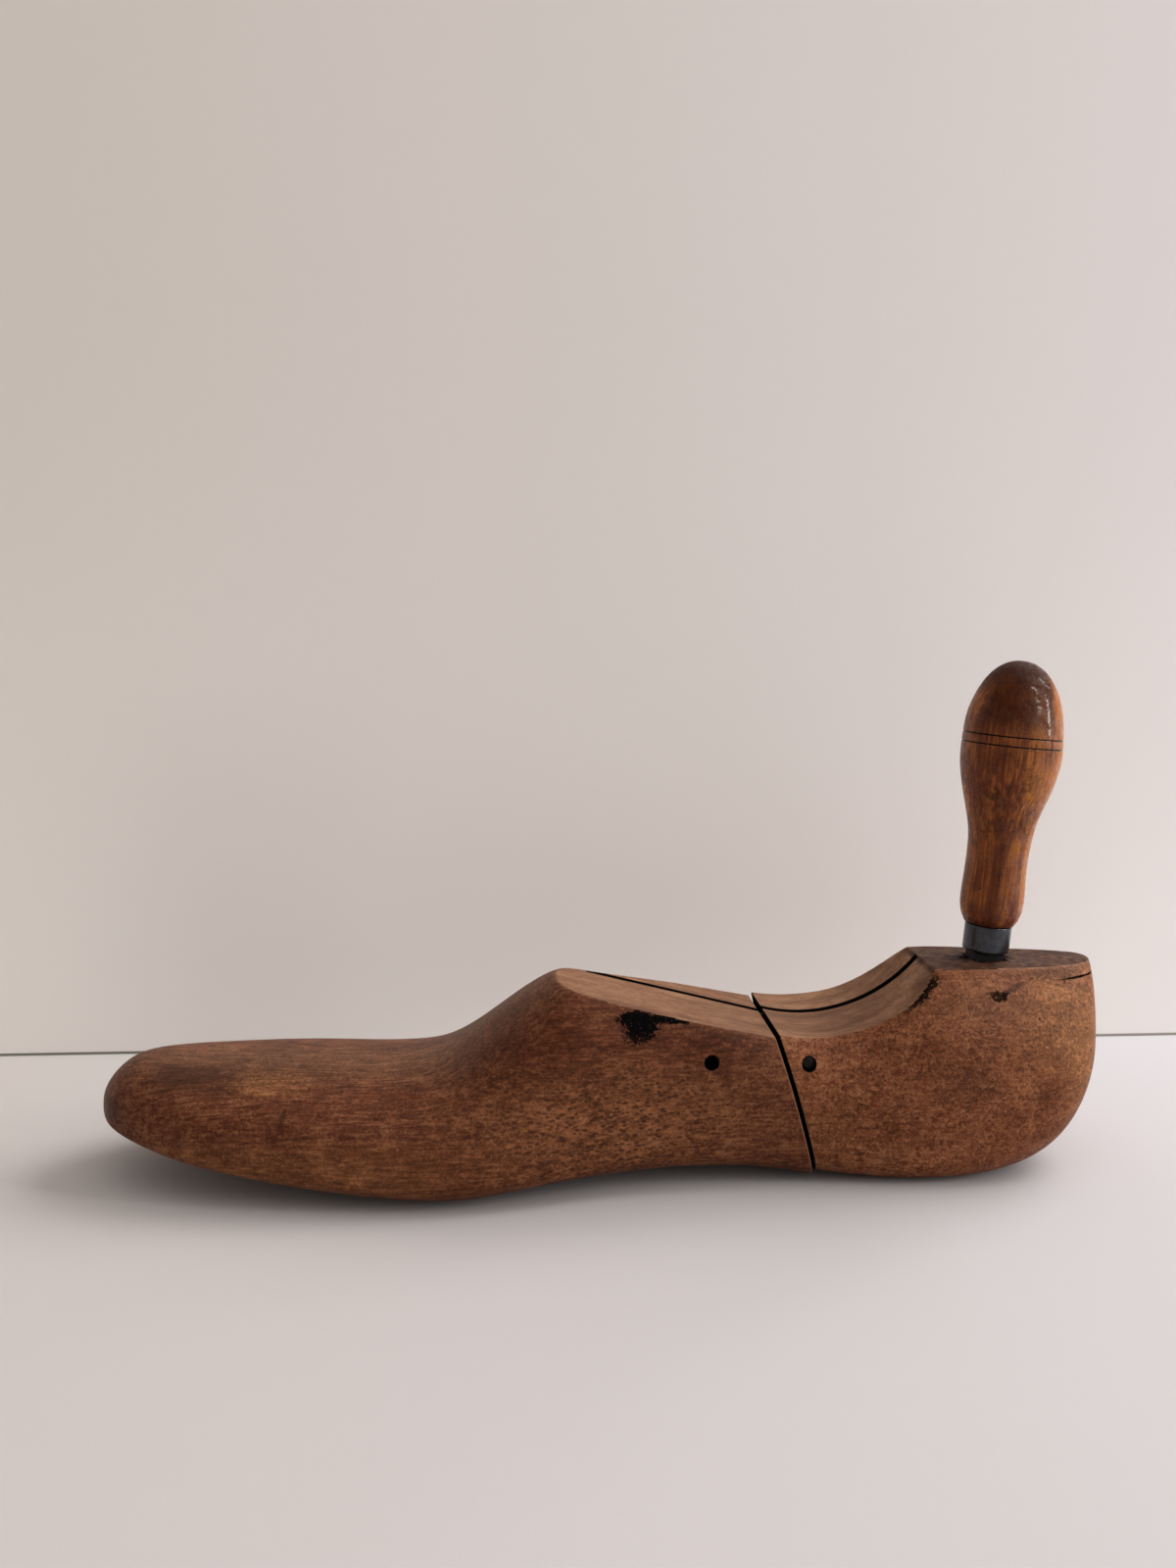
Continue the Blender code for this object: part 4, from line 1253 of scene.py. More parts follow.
    def read(self, line: Line, x: Array) -> Array:
        """Size of one line at places along the last."""
        share = np.clip(x / self.length, 0.0, 1.0)
        return self.lines[line](np.arccos(1.0 - 2.0 * share))

    def sawn_top(self, x: Array) -> Array:
        """Height of the sawn top.

        A straight fall from the instep, then an arc of a circle, up to the flat top of the heel.

        Args:
            x: places along the last.

        Returns:
            Heights there, with the front edge of the heel's top a little rounded.
        """
        centre = self.saddle_height + self.saddle_radius
        meets = self.saddle_at - self.saddle_radius * math.sin(self.saddle_slope)
        fall = centre - self.saddle_radius * math.cos(self.saddle_slope)
        reach = np.clip(x - self.saddle_at, -self.saddle_radius, self.saddle_radius)
        arc = centre - np.sqrt(self.saddle_radius**2 - reach**2)
        straight = fall + math.tan(self.saddle_slope) * (meets - x)
        capped = soft_least(arc, np.full_like(arc, self.heel_top), self.worn_edge / 2.0)
        return np.where(x < meets, straight, capped)

    @property
    def break_centre(self) -> tuple[float, float]:
        """Centre of the break's arc, (x, z): it leans by the slant where it leaves the sawn top."""
        top = float(self.sawn_top(np.array(self.break_top)))
        return (self.break_top - self.break_radius * math.cos(self.break_slant),
                top - self.break_radius * math.sin(self.break_slant))

    def break_at(self, z: Array, offset: float) -> Array:
        """Place of the bowed cut between the two parts: an arc of a large circle.

        Args:
            z: heights.
            offset: how far towards the heel the cut is moved.

        Returns:
            Places along the last.
        """
        centre_x, centre_z = self.break_centre
        return centre_x + np.sqrt((self.break_radius + offset) ** 2 - (z - centre_z) ** 2)

    def turns(self, x: Array) -> Array:
        """Direction of each point round the section, so that two of them follow the sawn edges.

        The sawn top is as high as the section where its quarter ellipses reach that share of their
        height. The directions there are the edges: one run of points spans the top between them, and
        the other goes round under the sole. The top keeps a least width where nothing is sawn.

        Args:
            x: (ring, place round it) places along the last.

        Returns:
            Directions in radians, from the outer side over the top.
        """
        girth, crest = self.read(Line.GIRTH, x), self.read(Line.CREST, x)
        rise = np.clip((self.sawn_top(x) - girth) / np.maximum(crest - girth, 1e-6), 1e-3, 1.0)
        least = math.pi * self.around_top / (self.around_top + self.around_side)
        gaps = []
        for line in (Line.OUTER, Line.INNER):
            full = self.read(line, x)
            across = np.clip(1.0 - rise**full, 0.0, 1.0) ** (1.0 / full)
            gaps.append(-soft_least(-np.arctan2(across, rise), np.full_like(rise, -least), 0.25))
        outer, inner = gaps
        even = np.linspace(0.0, 1.0, 2000)
        edge = np.minimum(even, 1.0 - even)
        top = spread(1.0 + 2.5 * np.exp(-((edge / 0.03) ** 2)), self.around_top)
        side = spread(1.0 + 2.5 * np.exp(-((edge / 0.008) ** 2)), self.around_side)
        share = np.concatenate([top - top[0], side - side[0]])
        over = QUARTER - outer + share * (outer + inner)
        under = QUARTER + inner + share * (2.0 * math.pi - outer - inner)
        return np.where(np.arange(len(share)) < self.around_top, over, under)

    def hand_work(self, x: Array, turn: Array) -> Array:
        """Slight waves left by the rasp, cut inwards everywhere but on the sole.

        Four crossing sines, none over a tenth of a millimetre high, sunk by more than their sum.

        Args:
            x: places along the last.
            turn: directions round the section.

        Returns:
            Change of each point's distance from the middle, never above nought.
        """
        long = np.sin(x / 0.0087 + 1.3 * np.sin(turn)) + 0.7 * np.sin(x / 0.0139 - 2.0 * turn)
        cross = 0.6 * np.sin(3.0 * turn + x / 0.021) + 0.5 * np.sin(x / 0.0053 + 4.0 * turn)
        above_sole = np.clip(1.0 + 1.4 * np.sin(turn), 0.0, 1.0)
        return (self.hand_wave * (long + cross) - self.hand_depth) * above_sole

    def surface(self, x: Array) -> Array:
        """Points of the sawn body.

        Each section is three quarter super-ellipses that meet on the widest line: the upper inner, the
        upper outer and the sole. A super-ellipse of fullness n reaches (|cos|^n + |sin|^n)^(-1/n) in
        each direction. Above the widest line the reach stops, softly, at the sawn top.

        Args:
            x: (ring, place round it) places along the last.

        Returns:
            (ring, place, 3) points.
        """
        turn = self.turns(x)
        girth = self.read(Line.GIRTH, x)
        medial, lateral = -self.read(Line.MEDIAL, x), self.read(Line.LATERAL, x)
        upper, outer = np.sin(turn) >= 0.0, np.cos(turn) >= 0.0
        top_full = np.where(outer, self.read(Line.OUTER, x), self.read(Line.INNER, x))
        full = np.where(upper, top_full, self.read(Line.UNDER, x))
        across, rise = np.abs(np.cos(turn)), np.abs(np.sin(turn))
        reach = (across**full + rise**full) ** (-1.0 / full)
        middle = np.where(upper, self.read(Line.RIDGE, x), (medial + lateral) / 2.0)
        edge = np.where(outer, lateral, medial)
        limit = np.where(upper, self.read(Line.CREST, x), self.read(Line.SOLE, x))
        side = (edge - middle) * across * reach
        lift = (limit - girth) * rise * reach
        length = np.hypot(side, lift)
        safe = np.maximum(length, 1e-9)
        worked = length + self.hand_work(x, turn) * np.clip(length / 0.02, 0.0, 1.0)
        room = np.where(upper, self.sawn_top(x) - girth, 1.0)
        stop = safe * room / np.maximum(np.where(upper, lift, 1e-9), 1e-9)
        kept = soft_least(worked, np.minimum(stop, 1.0), self.worn_edge)
        share = np.where(length > 1e-6, kept / safe, 1.0)
        return np.stack([x, middle + side * share, girth + lift * share], axis=2)

    def shrunk(self, points: Array, inset: Array) -> Array:
        """Section points drawn in towards the middle of the widest line.

        Args:
            points: (ring, place, 3) points.
            inset: how far each ring's points come in.

        Returns:
            The points.
        """
        middle = np.zeros_like(points)
        middle[..., 0] = points[..., 0]
        middle[..., 2] = self.read(Line.GIRTH, points[..., 0])
        out = points - middle
        length = np.linalg.norm(out, axis=-1, keepdims=True)
        return middle + out * np.clip(1.0 - inset[..., None] / np.maximum(length, 1e-9), 0.0, None)

    def break_line(self, offset: float) -> Array:
        """Place along the last where each run of points meets the break, found by a few rounds.

        Args:
            offset: how far towards the heel the cut is moved.

        Returns:
            (1, place round it) places.
        """
        x = np.full((1, self.around_top + self.around_side), self.break_top)
        for _ in range(8):
            x = self.break_at(self.surface(x)[..., 2], offset)
        return x

    def break_rings(self, offset: float, towards: float) -> Array:
        """Rings over the rounded rim of the break and in across its face.

        Args:
            offset: how far towards the heel the cut is moved.
            towards: +1 where the wood lies before the cut, -1 where it lies behind.

        Returns:
            Rings from the rim inwards.
        """
        end = self.break_line(offset)
        bend = np.linspace(0.0, QUARTER, 6)[1:, None]
        x = end - towards * self.broken_edge * (1.0 - np.sin(bend))
        rim = self.shrunk(self.surface(x), self.broken_edge * (1.0 - np.cos(bend)) + 0.0 * x)
        last = rim[-1:]
        middle = np.array([0.0, 0.0, float(self.read(Line.GIRTH, np.array(self.break_top)))])
        share = np.linspace(1.0, 0.0, 22)[1:-1, None]
        face = last.repeat(len(share), axis=0)
        face[..., 1] = middle[1] + (last[..., 1] - middle[1]) * share
        face[..., 2] = middle[2] + (last[..., 2] - middle[2]) * share
        face[..., 0] = self.break_at(face[..., 2], offset)
        return np.concatenate([rim, face])

    def face_pole(self, offset: float) -> Array:
        """Middle of the break's face."""
        height = self.read(Line.GIRTH, np.array(self.break_top))
        return np.array([float(self.break_at(height, offset)), 0.0, float(height)])


@dataclass
class Hinge:
    """Sizes of the saw slot, the link and its two pins."""

    shape: LastShape
    shift: Vector
    slot_width: float = 0.0023
    slot_y: float = 0.0035
    # How far the painted shade of the slot reaches past its walls
    shade_reach: float = 0.00040
    slot_depth: float = 0.0205
    saw_radius: float = 0.0553
    saw_back: float = 0.0028
    pin_hole: float = 0.0043
    fit_gap: float = 0.0003
    link_span: float = 0.0292
    link_height: float = 0.0110
    front_pin_back: float = 0.0202
    front_pin_z: float = 0.0386
    rear_pin_z: float = 0.0367
    bore_length: float = 0.16
    saw_sides: int = 240
    bore_sides: int = 64

    @property
    def front_pin(self) -> tuple[float, float]:
        """Middle of the front pin, (x, z)."""
        return self.shape.break_top - self.front_pin_back, self.front_pin_z

    @property
    def rear_pin(self) -> tuple[float, float]:
        """Middle of the rear pin, (x, z): one span from the front pin, at its own height."""
        drop = self.front_pin_z - self.rear_pin_z
        return self.front_pin[0] + math.sqrt(self.link_span**2 - drop**2), self.rear_pin_z

    def slot_centre(self, step: float) -> tuple[float, float]:
        """Centre of the saw blade, (x, z), for the part of the last that sits this much higher."""
        low = self.shape.saddle_height - self.slot_depth
        return self.shape.break_top - self.saw_back, low + self.saw_radius + step

    def hollows(self, step: float, pin: tuple[float, float], pale: float) -> tuple[Hollow, ...]:
        """The cuts whose walls are painted dark as shade in one part of the last: slot, break and pin hole.

        Args:
            step: how much higher this part sits.
            pin: place of its pin hole, (x, z).
            pale: how far the wood beside the break is painted pale, as a highlight on its edge.

        Returns:
            The hollows.
        """
        centre_x, centre_z = self.shape.break_centre
        return (Hollow(self.slot_centre(step), self.saw_radius, 0.0, self.slot_y,
                       self.slot_width / 2.0 + self.shade_reach),
                Hollow((centre_x, centre_z + step), self.shape.break_radius, self.shape.break_gap / 2.0,
                       pale=pale),
                Hollow(pin, 0.0, self.pin_hole / 2.0))

    def slot(self, step: float) -> Mesh:
        """Volume of the saw slot: a disc of the blade's radius.

        Args:
            step: how much higher this part of the last sits.

        Returns:
            A closed mesh.
        """
        x, z = self.slot_centre(step)
        place = Matrix.Translation(self.shift) @ along_y(x, self.slot_y, z)
        return rod("saw_slot", self.saw_radius, self.slot_width, self.saw_sides, place)

    def bore(self, pin: tuple[float, float]) -> Mesh:
        """Volume of a pin's hole, right across the last."""
        place = Matrix.Translation(self.shift) @ along_y(pin[0], 0.0, pin[1])
        return rod("pin_bore", self.pin_hole / 2.0, self.bore_length, self.bore_sides, place)


@dataclass
class WoodPart:
    """What the two parts of the last share: the rings of their skins and the way they are finished.

    The rings lie closer together at the far end and round one place on the sawn top.
    """

    shape: LastShape
    hinge: Hinge
    shift: Vector

    def shares(self, count: int, start: float, at_start: float, more: float, at: float,
               reach: float) -> Array:
        """Shares of the run of rings from the far end to the break.

        Args:
            count: how many rings.
            start: place of the far end along the last.
            at_start: how much closer the rings lie there.
            more: how much closer they lie round one place.
            at: that place along the last.
            reach: how far from it they still do.

        Returns:
            Rising shares.
        """
        along = np.linspace(0.0005, 0.9995, 1000)
        x = start + along * (self.shape.break_top - start)
        weight = 1.0 + at_start / np.sqrt(along) + more * np.exp(-(((x - at) / reach) ** 2))
        return spread(weight, count)

    def finished(self, mesh: Mesh, step: float, cutters: list[Mesh],
                 wood: Material, body: Body, node: str) -> None:
        """Make the piece, saw its slot, cut its holes and dress it.

        Args:
            mesh: its skin.
            step: how much higher this part sits.
            cutters: volumes of its holes.
            wood: its material.
            body: the body that it moves with.
            node: the solid that it stands for.
        """
        piece = make_piece(mesh, SAWN_SHARP_FROM)
        cut_away(piece, [self.hinge.slot(step), *cutters])
        mark_sawn(piece, self.shape, self.shift, step)
        dress(piece, wood, body, node)


@dataclass
class Forepart(WoodPart):
    """Front part of the last: toe, ball, instep and the front half of the saddle."""

    rings: int = 330

    def mesh(self) -> Mesh:
        """Skin from the toe to the break and in over the break's face.

        Each run of points goes from the toe to its own place on the break, in shares that lie closer
        at the toe and where the sawn top begins.

        Returns:
            A closed mesh in the part's frame.
        """
        shape = self.shape
        offset = -shape.break_gap / 2.0
        share = self.shares(self.rings, 0.0, 0.30, more=1.3, at=0.1385, reach=0.006)[:, None]
        end = shape.break_line(offset) - shape.broken_edge
        skin = np.concatenate([shape.surface(end * share), shape.surface(end),
                               shape.break_rings(offset, 1.0)])
        skin[..., 2] = np.maximum(skin[..., 2], 0.0)
        toe = np.array([0.0, -shape.tip_offset, shape.tip_height])
        return closed_skin("forepart_wood", skin, toe, shape.face_pole(offset),
                           Matrix.Translation(self.shift))

    def build(self, wood: Material) -> None:
        """Make the piece of this wood, saw its slot and bore its pin hole."""
        bore = self.hinge.bore(self.hinge.front_pin)
        self.finished(self.mesh(), 0.0, [bore], wood, Body.FOREPART, "forepart")


@dataclass
class HeelPart(WoodPart):
    """Back part of the last, which sits one step higher and holds the handle."""

    rings: int = 230

    def mesh(self) -> Mesh:
        """Skin from the middle of the break's face out over its rim and on to the back of the heel.

        Returns:
            A closed mesh in the part's frame.
        """
        shape = self.shape
        offset = shape.break_gap / 2.0
        share = self.shares(self.rings, shape.length, 0.42, more=0.9, at=0.2525, reach=0.003)[::-1, None]
        start = shape.break_line(offset) + shape.broken_edge
        body = shape.surface(shape.length - (shape.length - start) * share)
        skin = np.concatenate([shape.break_rings(offset, -1.0)[::-1], shape.surface(start), body])
        skin[..., 2] = np.maximum(skin[..., 2] + shape.heel_step, 0.0)
        rise = on_axis(shape.heel_step)
        back = np.array([shape.length, 0.0, shape.back_height])
        return closed_skin("heel_wood", skin, shape.face_pole(offset) + rise, back + rise,
                           Matrix.Translation(self.shift))

    def build(self, wood: Material, mortise: Mesh) -> None:
        """Make the piece of this wood, saw its slot, and cut its pin hole and the handle's socket."""
        cutters = [self.hinge.bore(self.hinge.rear_pin), mortise]
        self.finished(self.mesh(), self.shape.heel_step, cutters, wood, Body.HEEL, "heel_part")


@dataclass
class HingeSteel:
    """The flat link and the two pins."""

    hinge: Hinge
    link_edge: float = 0.00025
    pin_edge: float = 0.0004
    pin_sides: int = 48
    end_points: int = 40

    def link_mesh(self) -> Mesh:
        """Flat bar with two round ends: an outline carried across, drawn in at its two edges.

        Returns:
            A closed mesh in the part's frame.
        """
        hinge, edge = self.hinge, self.link_edge
        front, rear = np.array(hinge.front_pin), np.array(hinge.rear_pin)
        tilt = math.atan2(rear[1] - front[1], rear[0] - front[0])
        half = np.linspace(-QUARTER, QUARTER, self.end_points) + tilt
        bend = np.concatenate([half, half + math.pi])
        middle = np.repeat([rear, front], self.end_points, axis=0)
        turn = np.linspace(0.0, QUARTER, 5)
        depth = hinge.slot_width / 2.0 - hinge.fit_gap - edge * (1.0 - np.cos(turn))
        inset = edge * (1.0 - np.sin(turn))
        depth = np.concatenate([-depth, depth[::-1]])
        inset = np.concatenate([inset, inset[::-1]])
        radius = (hinge.link_height / 2.0 - inset)[:, None]
        x = middle[:, 0] + radius * np.cos(bend)
        z = middle[:, 1] + radius * np.sin(bend)
        y = hinge.slot_y + depth[:, None] + 0.0 * x
        rings = np.stack([x, y, z], axis=2)[:, ::-1]
        return closed_skin("hinge_link_plate", rings, rings[0].mean(axis=0), rings[-1].mean(axis=0),
                           Matrix.Translation(hinge.shift))

    def pin_mesh(self, node: str) -> Mesh:
        """Round pin with softened ends, as long as the solid that it stands for.

        Args:
            node: the solid.

        Returns:
            A closed mesh in the part's frame.
        """
        low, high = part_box(node)
        radius = self.hinge.pin_hole / 2.0 - self.hinge.fit_gap
        place = along_y(*((low + high) / 2.0))
        return rod(node + "_steel", radius, high.y - low.y, self.pin_sides, place, self.pin_edge)

    def build(self) -> None:
        """Make the three pieces."""
        hinge, steel = self.hinge, HINGE_STEEL.material()
        link = make_piece(self.link_mesh(), BAR_SHARP_FROM)
        cut_away(link, [hinge.bore(hinge.front_pin), hinge.bore(hinge.rear_pin)])
        dress(link, steel, Body.LINK, "hinge_link")
        for node, body in (("front_hinge_pin", Body.FOREPART), ("rear_hinge_pin", Body.HEEL)):
            dress(make_piece(self.pin_mesh(node), BAR_SHARP_FROM), steel, body, node)


@dataclass
class Handle:
    """Turned grip, ferrule and square tang. Heights are along its own axis, from the heel's flat top."""

    shape: LastShape
    shift: Vector
    from_back: float = 0.0335
    lean: float = math.radians(5.2)
    tang_side: float = 0.0095
    tang_length: float = 0.0280
    tang_bevel: float = 0.0012
    tang_fullness: float = 16.0
    hammer_marks: float = 0.00006
    mortise_play: float = 0.0005
    mortise_headroom: float = 0.015
    fit_gap: float = 0.0003
    spike_side: float = 0.0054
    spike_length: float = 0.0440
    spike_taper: float = 0.6
    ferrule_base: float = 0.0025
    ferrule_length: float = 0.0082
    ferrule_radius: float = 0.00705
    ferrule_wall: float = 0.0009
    ferrule_edge: float = 0.00035
    groove_rise: float = 0.0014
    groove_reach: float = 0.0003
    groove_cut: float = 0.00006
    grip_length: float = 0.0820
    grip_radius: float = 0.01515
    grip_middle: float = 0.67
    grip_fullness: float = 2.15
    grip_neck: float = 0.0094
    grip_collar: float = 0.00968
    grip_lip: float = 0.0004
    ring_rise: float = 0.0040
    ring_spacing: float = 0.0028
    ring_cut: float = 0.00030
    ring_width: float = 0.00016
    facet_depth: float = 0.00012
    hand_wear: float = 0.00006
    scribed_margin: float = 0.001
    scribed_step: float = 0.00011
    grip_sides: int = 160
    steel_sides: int = 96

    @property
    def place(self) -> Matrix:
        """Frame of the handle: origin on the heel's flat top, Z up along the leaning axis."""
        foot = Vector((self.shape.length - self.from_back, 0.0, self.shape.heel_top + self.shape.heel_step))
        return Matrix.Translation(foot + self.shift) @ Matrix.Rotation(self.lean, 4, "Y")

    @property
    def grip_base(self) -> float:
        """Height of the grip's shoulder, on the ferrule."""
        return self.ferrule_base + self.ferrule_length + self.fit_gap

    @property
    def grip_top(self) -> float:
        """Height of the dome's top, which is a little flat."""
        return self.grip_base + self.grip_length - self.facet_depth

    @property
    def thickest(self) -> float:
        """Height at which the grip is thickest."""
        return self.grip_base + self.grip_middle * self.grip_length

    @property
    def ring_heights(self) -> tuple[float, float]:
        """Heights of the two scribed lines."""
        upper = self.thickest + self.ring_rise
        return upper, upper - self.ring_spacing

    def mortise(self) -> Mesh:
        """Volume of the square socket.

        Returns:
            A closed mesh in the part's frame.
        """
        half = self.tang_side / 2.0 + self.mortise_play
        low, high = -self.tang_length - self.fit_gap, self.mortise_headroom
        corner = np.array([[1.0, 1.0], [-1.0, 1.0], [-1.0, -1.0], [1.0, -1.0]]) * half
        levels = np.repeat([low, high], 4).reshape(2, 4, 1)
        rings = np.concatenate([np.tile(corner, (2, 1, 1)), levels], axis=2)
        return closed_skin("mortise", rings, on_axis(low), on_axis(high), self.place)

    def grip_radius_at(self, height: Array) -> Array:
        """Outer radius of the grip at heights along its axis.

        Below its thickest place a smooth line through measured radii, above it a super-ellipse, less
        two scribed lines, each a narrow bell-shaped groove.

        Args:
            height: heights along the axis.

        Returns:
            Radii there.
        """
        base, long, radius, thick = self.grip_base, self.grip_length, self.grip_radius, self.thickest
        dome = self.grip_top - thick
        side = SmoothLine((
            (base, self.ferrule_radius + self.grip_lip),
            (base + 0.030 * long, 0.910 * self.grip_collar),
            (base + 0.095 * long, self.grip_collar),
            (base + 0.200 * long, 1.005 * self.grip_neck),
            (base + 0.280 * long, self.grip_neck),
            (base + 0.360 * long, 1.065 * self.grip_neck),
            (base + 0.445 * long, 0.765 * radius),
            (base + 0.550 * long, 0.930 * radius),
            (thick, radius),
            (thick + 0.200 * dome, 0.985 * radius),
        ))
        up = np.clip((height - thick) / dome, 0.0, 1.0)
        cap = radius * (1.0 - up**self.grip_fullness) ** (1.0 / self.grip_fullness)
        blend = np.clip((height - thick) / (0.1 * dome), 0.0, 1.0)
        low = side(np.minimum(height, thick + 0.2 * dome))
        outline = low + (cap - low) * blend * blend * (3.0 - 2.0 * blend)
        for ring in self.ring_heights:
            outline = outline - self.ring_cut * np.exp(-(((height - ring) / self.ring_width) ** 2))
        return outline

    def hand_worn(self, rings: Array) -> Array:
        """Rings of the grip's outer side, less the slight unevenness that the hand has left.

        Three crossing sines, sunk by more than their sum, that fade out at the shoulder.

        Args:
            rings: the rings, about the grip's own axis.

        Returns:
            The rings, drawn in.
        """
        turn, level = np.arctan2(rings[..., 1], rings[..., 0]), rings[..., 2]
        waves = np.sin(3.0 * turn + level / 0.0041) + np.sin(5.0 * turn - level / 0.0067)
        waves = waves + 0.8 * np.sin(2.0 * turn + level / 0.0023 + 1.7 * np.sin(turn))
        worn = np.clip((level - self.grip_base) / 0.004, 0.0, 1.0) * self.hand_wear * (waves - 3.2)
        share = 1.0 + worn / np.maximum(np.hypot(rings[..., 0], rings[..., 1]), 0.004)
        return np.concatenate([rings[..., :2] * share[..., None], rings[..., 2:]], axis=2)

    def grip_mesh(self) -> Mesh:
        """Turned skin: up the bore, down round the neck, out to the shoulder and up the outer side.

        Returns:
            A closed mesh in the part's frame.
        """
        neck = self.ferrule_radius - self.ferrule_wall - self.fit_gap
        bore = self.spike_side / math.sqrt(2.0) + self.fit_gap
        bore_top = self.ferrule_base + self.spike_length + self.fit_gap
        base, top = self.grip_base, self.grip_top
        scribed, above = self.thickest - 0.0004, self.thickest + self.ring_rise + self.scribed_margin
        height = np.concatenate([
            np.linspace(base, scribed, 190), np.arange(scribed, above, self.scribed_step),
            above + (top - above) * np.sin(np.linspace(0.0, QUARTER, 90)[1:-1])])
        outer = np.column_stack([self.grip_radius_at(height), height])
        low = self.ferrule_base
        inside = np.array([[bore, bore_top], [bore, low], [neck, low], [neck, base]])
        ledge = np.column_stack([np.linspace(neck, outer[0, 0], 6)[1:-1], np.full(4, base)])
        hidden = turned_rings(np.vstack([inside, ledge]), self.grip_sides)
        rings = np.concatenate([hidden, self.hand_worn(turned_rings(outer, self.grip_sides))])
        return closed_skin("grip_wood_piece", rings, on_axis(bore_top), on_axis(top), self.place)

    def ferrule_mesh(self) -> Mesh:
        """Tube with rounded rims and a faint groove: its section is a closed loop carried round the axis.

        Returns:
            A closed mesh in the part's frame.
        """
        low, high = self.ferrule_base, self.ferrule_base + self.ferrule_length
        outer, edge = self.ferrule_radius, self.ferrule_edge
        inner = outer - self.ferrule_wall
        turn = np.linspace(0.0, QUARTER, 6)
        foot = np.column_stack([outer - edge + edge * np.sin(turn), low + edge - edge * np.cos(turn)])
        rim = np.column_stack([outer - edge + edge * np.cos(turn), high - edge + edge * np.sin(turn)])
        height = np.linspace(foot[-1, 1], rim[0, 1], 12)[1:-1]
        groove = self.groove_cut * np.exp(-(((height - low - self.groove_rise) / self.groove_reach) ** 2))
        wall = np.column_stack([outer - groove, height])
        back = np.array([[inner, high], [inner, low]])
        rings = turned_rings(np.vstack([foot, wall, rim, back]), self.steel_sides)
        return closed_skin("ferrule_tube", rings, place=self.place)

    def tang_mesh(self) -> Mesh:
        """Square bar with a blunt foot and a thinner spike above.

        Its section is a super-ellipse, a square with just rounded corners, whose half side follows
        the height. Slow sines stand for the hammer's marks.

        Returns:
            A closed mesh in the part's frame.
        """
        half, spike = self.tang_side / 2.0, self.spike_side / 2.0
        foot, ledge, full = -self.tang_length, self.ferrule_base - self.fit_gap, self.tang_fullness
        height = np.concatenate([
            [foot, foot + self.tang_bevel / 2.0], np.linspace(foot + self.tang_bevel, ledge - 0.0002, 60),
            [ledge, ledge], np.linspace(ledge, ledge + self.spike_length, 24)[1:]])[:, None]
        size = np.concatenate([
            [half - self.tang_bevel, half - self.tang_bevel / 2.0], np.full(60, half),
            [half - 0.0002, spike], spike * np.linspace(1.0, self.spike_taper, 24)[1:]])[:, None]
        turn = np.linspace(0.0, 2.0 * math.pi, self.steel_sides, endpoint=False)
        reach = (np.abs(np.cos(turn)) ** full + np.abs(np.sin(turn)) ** full) ** (-1.0 / full)
        marks = self.hammer_marks * (np.sin(height / 0.0011 + 2.0 * np.sin(2.0 * turn)) - 1.0)
        radius = (size + marks) * reach
        rings = np.stack([radius * np.cos(turn), radius * np.sin(turn), height + 0.0 * turn], axis=2)
        return closed_skin("tang_bar", rings, on_axis(foot), on_axis(ledge + self.spike_length), self.place)

    def build(self) -> None:
        """Make the three pieces."""
        wood = GripWood(self.place, self.ring_heights, self.grip_base, self.grip_base + self.grip_length)
        for mesh, sharp_from, finish, slot, node in (
                (self.grip_mesh(), TURNED_SHARP_FROM, wood, "grip_wood", "handle_grip"),
                (self.ferrule_mesh(), TURNED_SHARP_FROM, FERRULE_STEEL, "ferrule_steel", "ferrule"),
                (self.tang_mesh(), BAR_SHARP_FROM, TANG_IRON, "tang_iron", "tang")):
            dress(make_piece(mesh, sharp_from), finish.material(), Body.HANDLE, node)


# Studio


@dataclass(frozen=True)
class Lamp:
    """Window light, aimed at the object. It lights everything, or shows in polished surfaces alone."""

    name: str
    place: Triple
    wide: float
    high: float
    watts: float
    lights_all: bool = True

    def build(self) -> None:
        """Hang the lamp."""
        light = bpy.data.lights.new(self.name, "AREA")
        light.shape = "RECTANGLE"
        light.size, light.size_y = self.wide, self.high
        light.energy = self.watts
        light.color = (1.0, 0.975, 0.955)
        item = new_item(self.name, light)
        item.location = self.place
        aim = Vector((0.0, 0.0, 0.04)) - Vector(self.place)
        item.rotation_euler = aim.to_track_quat("-Z", "Y").to_euler()
        item.visible_diffuse = self.lights_all


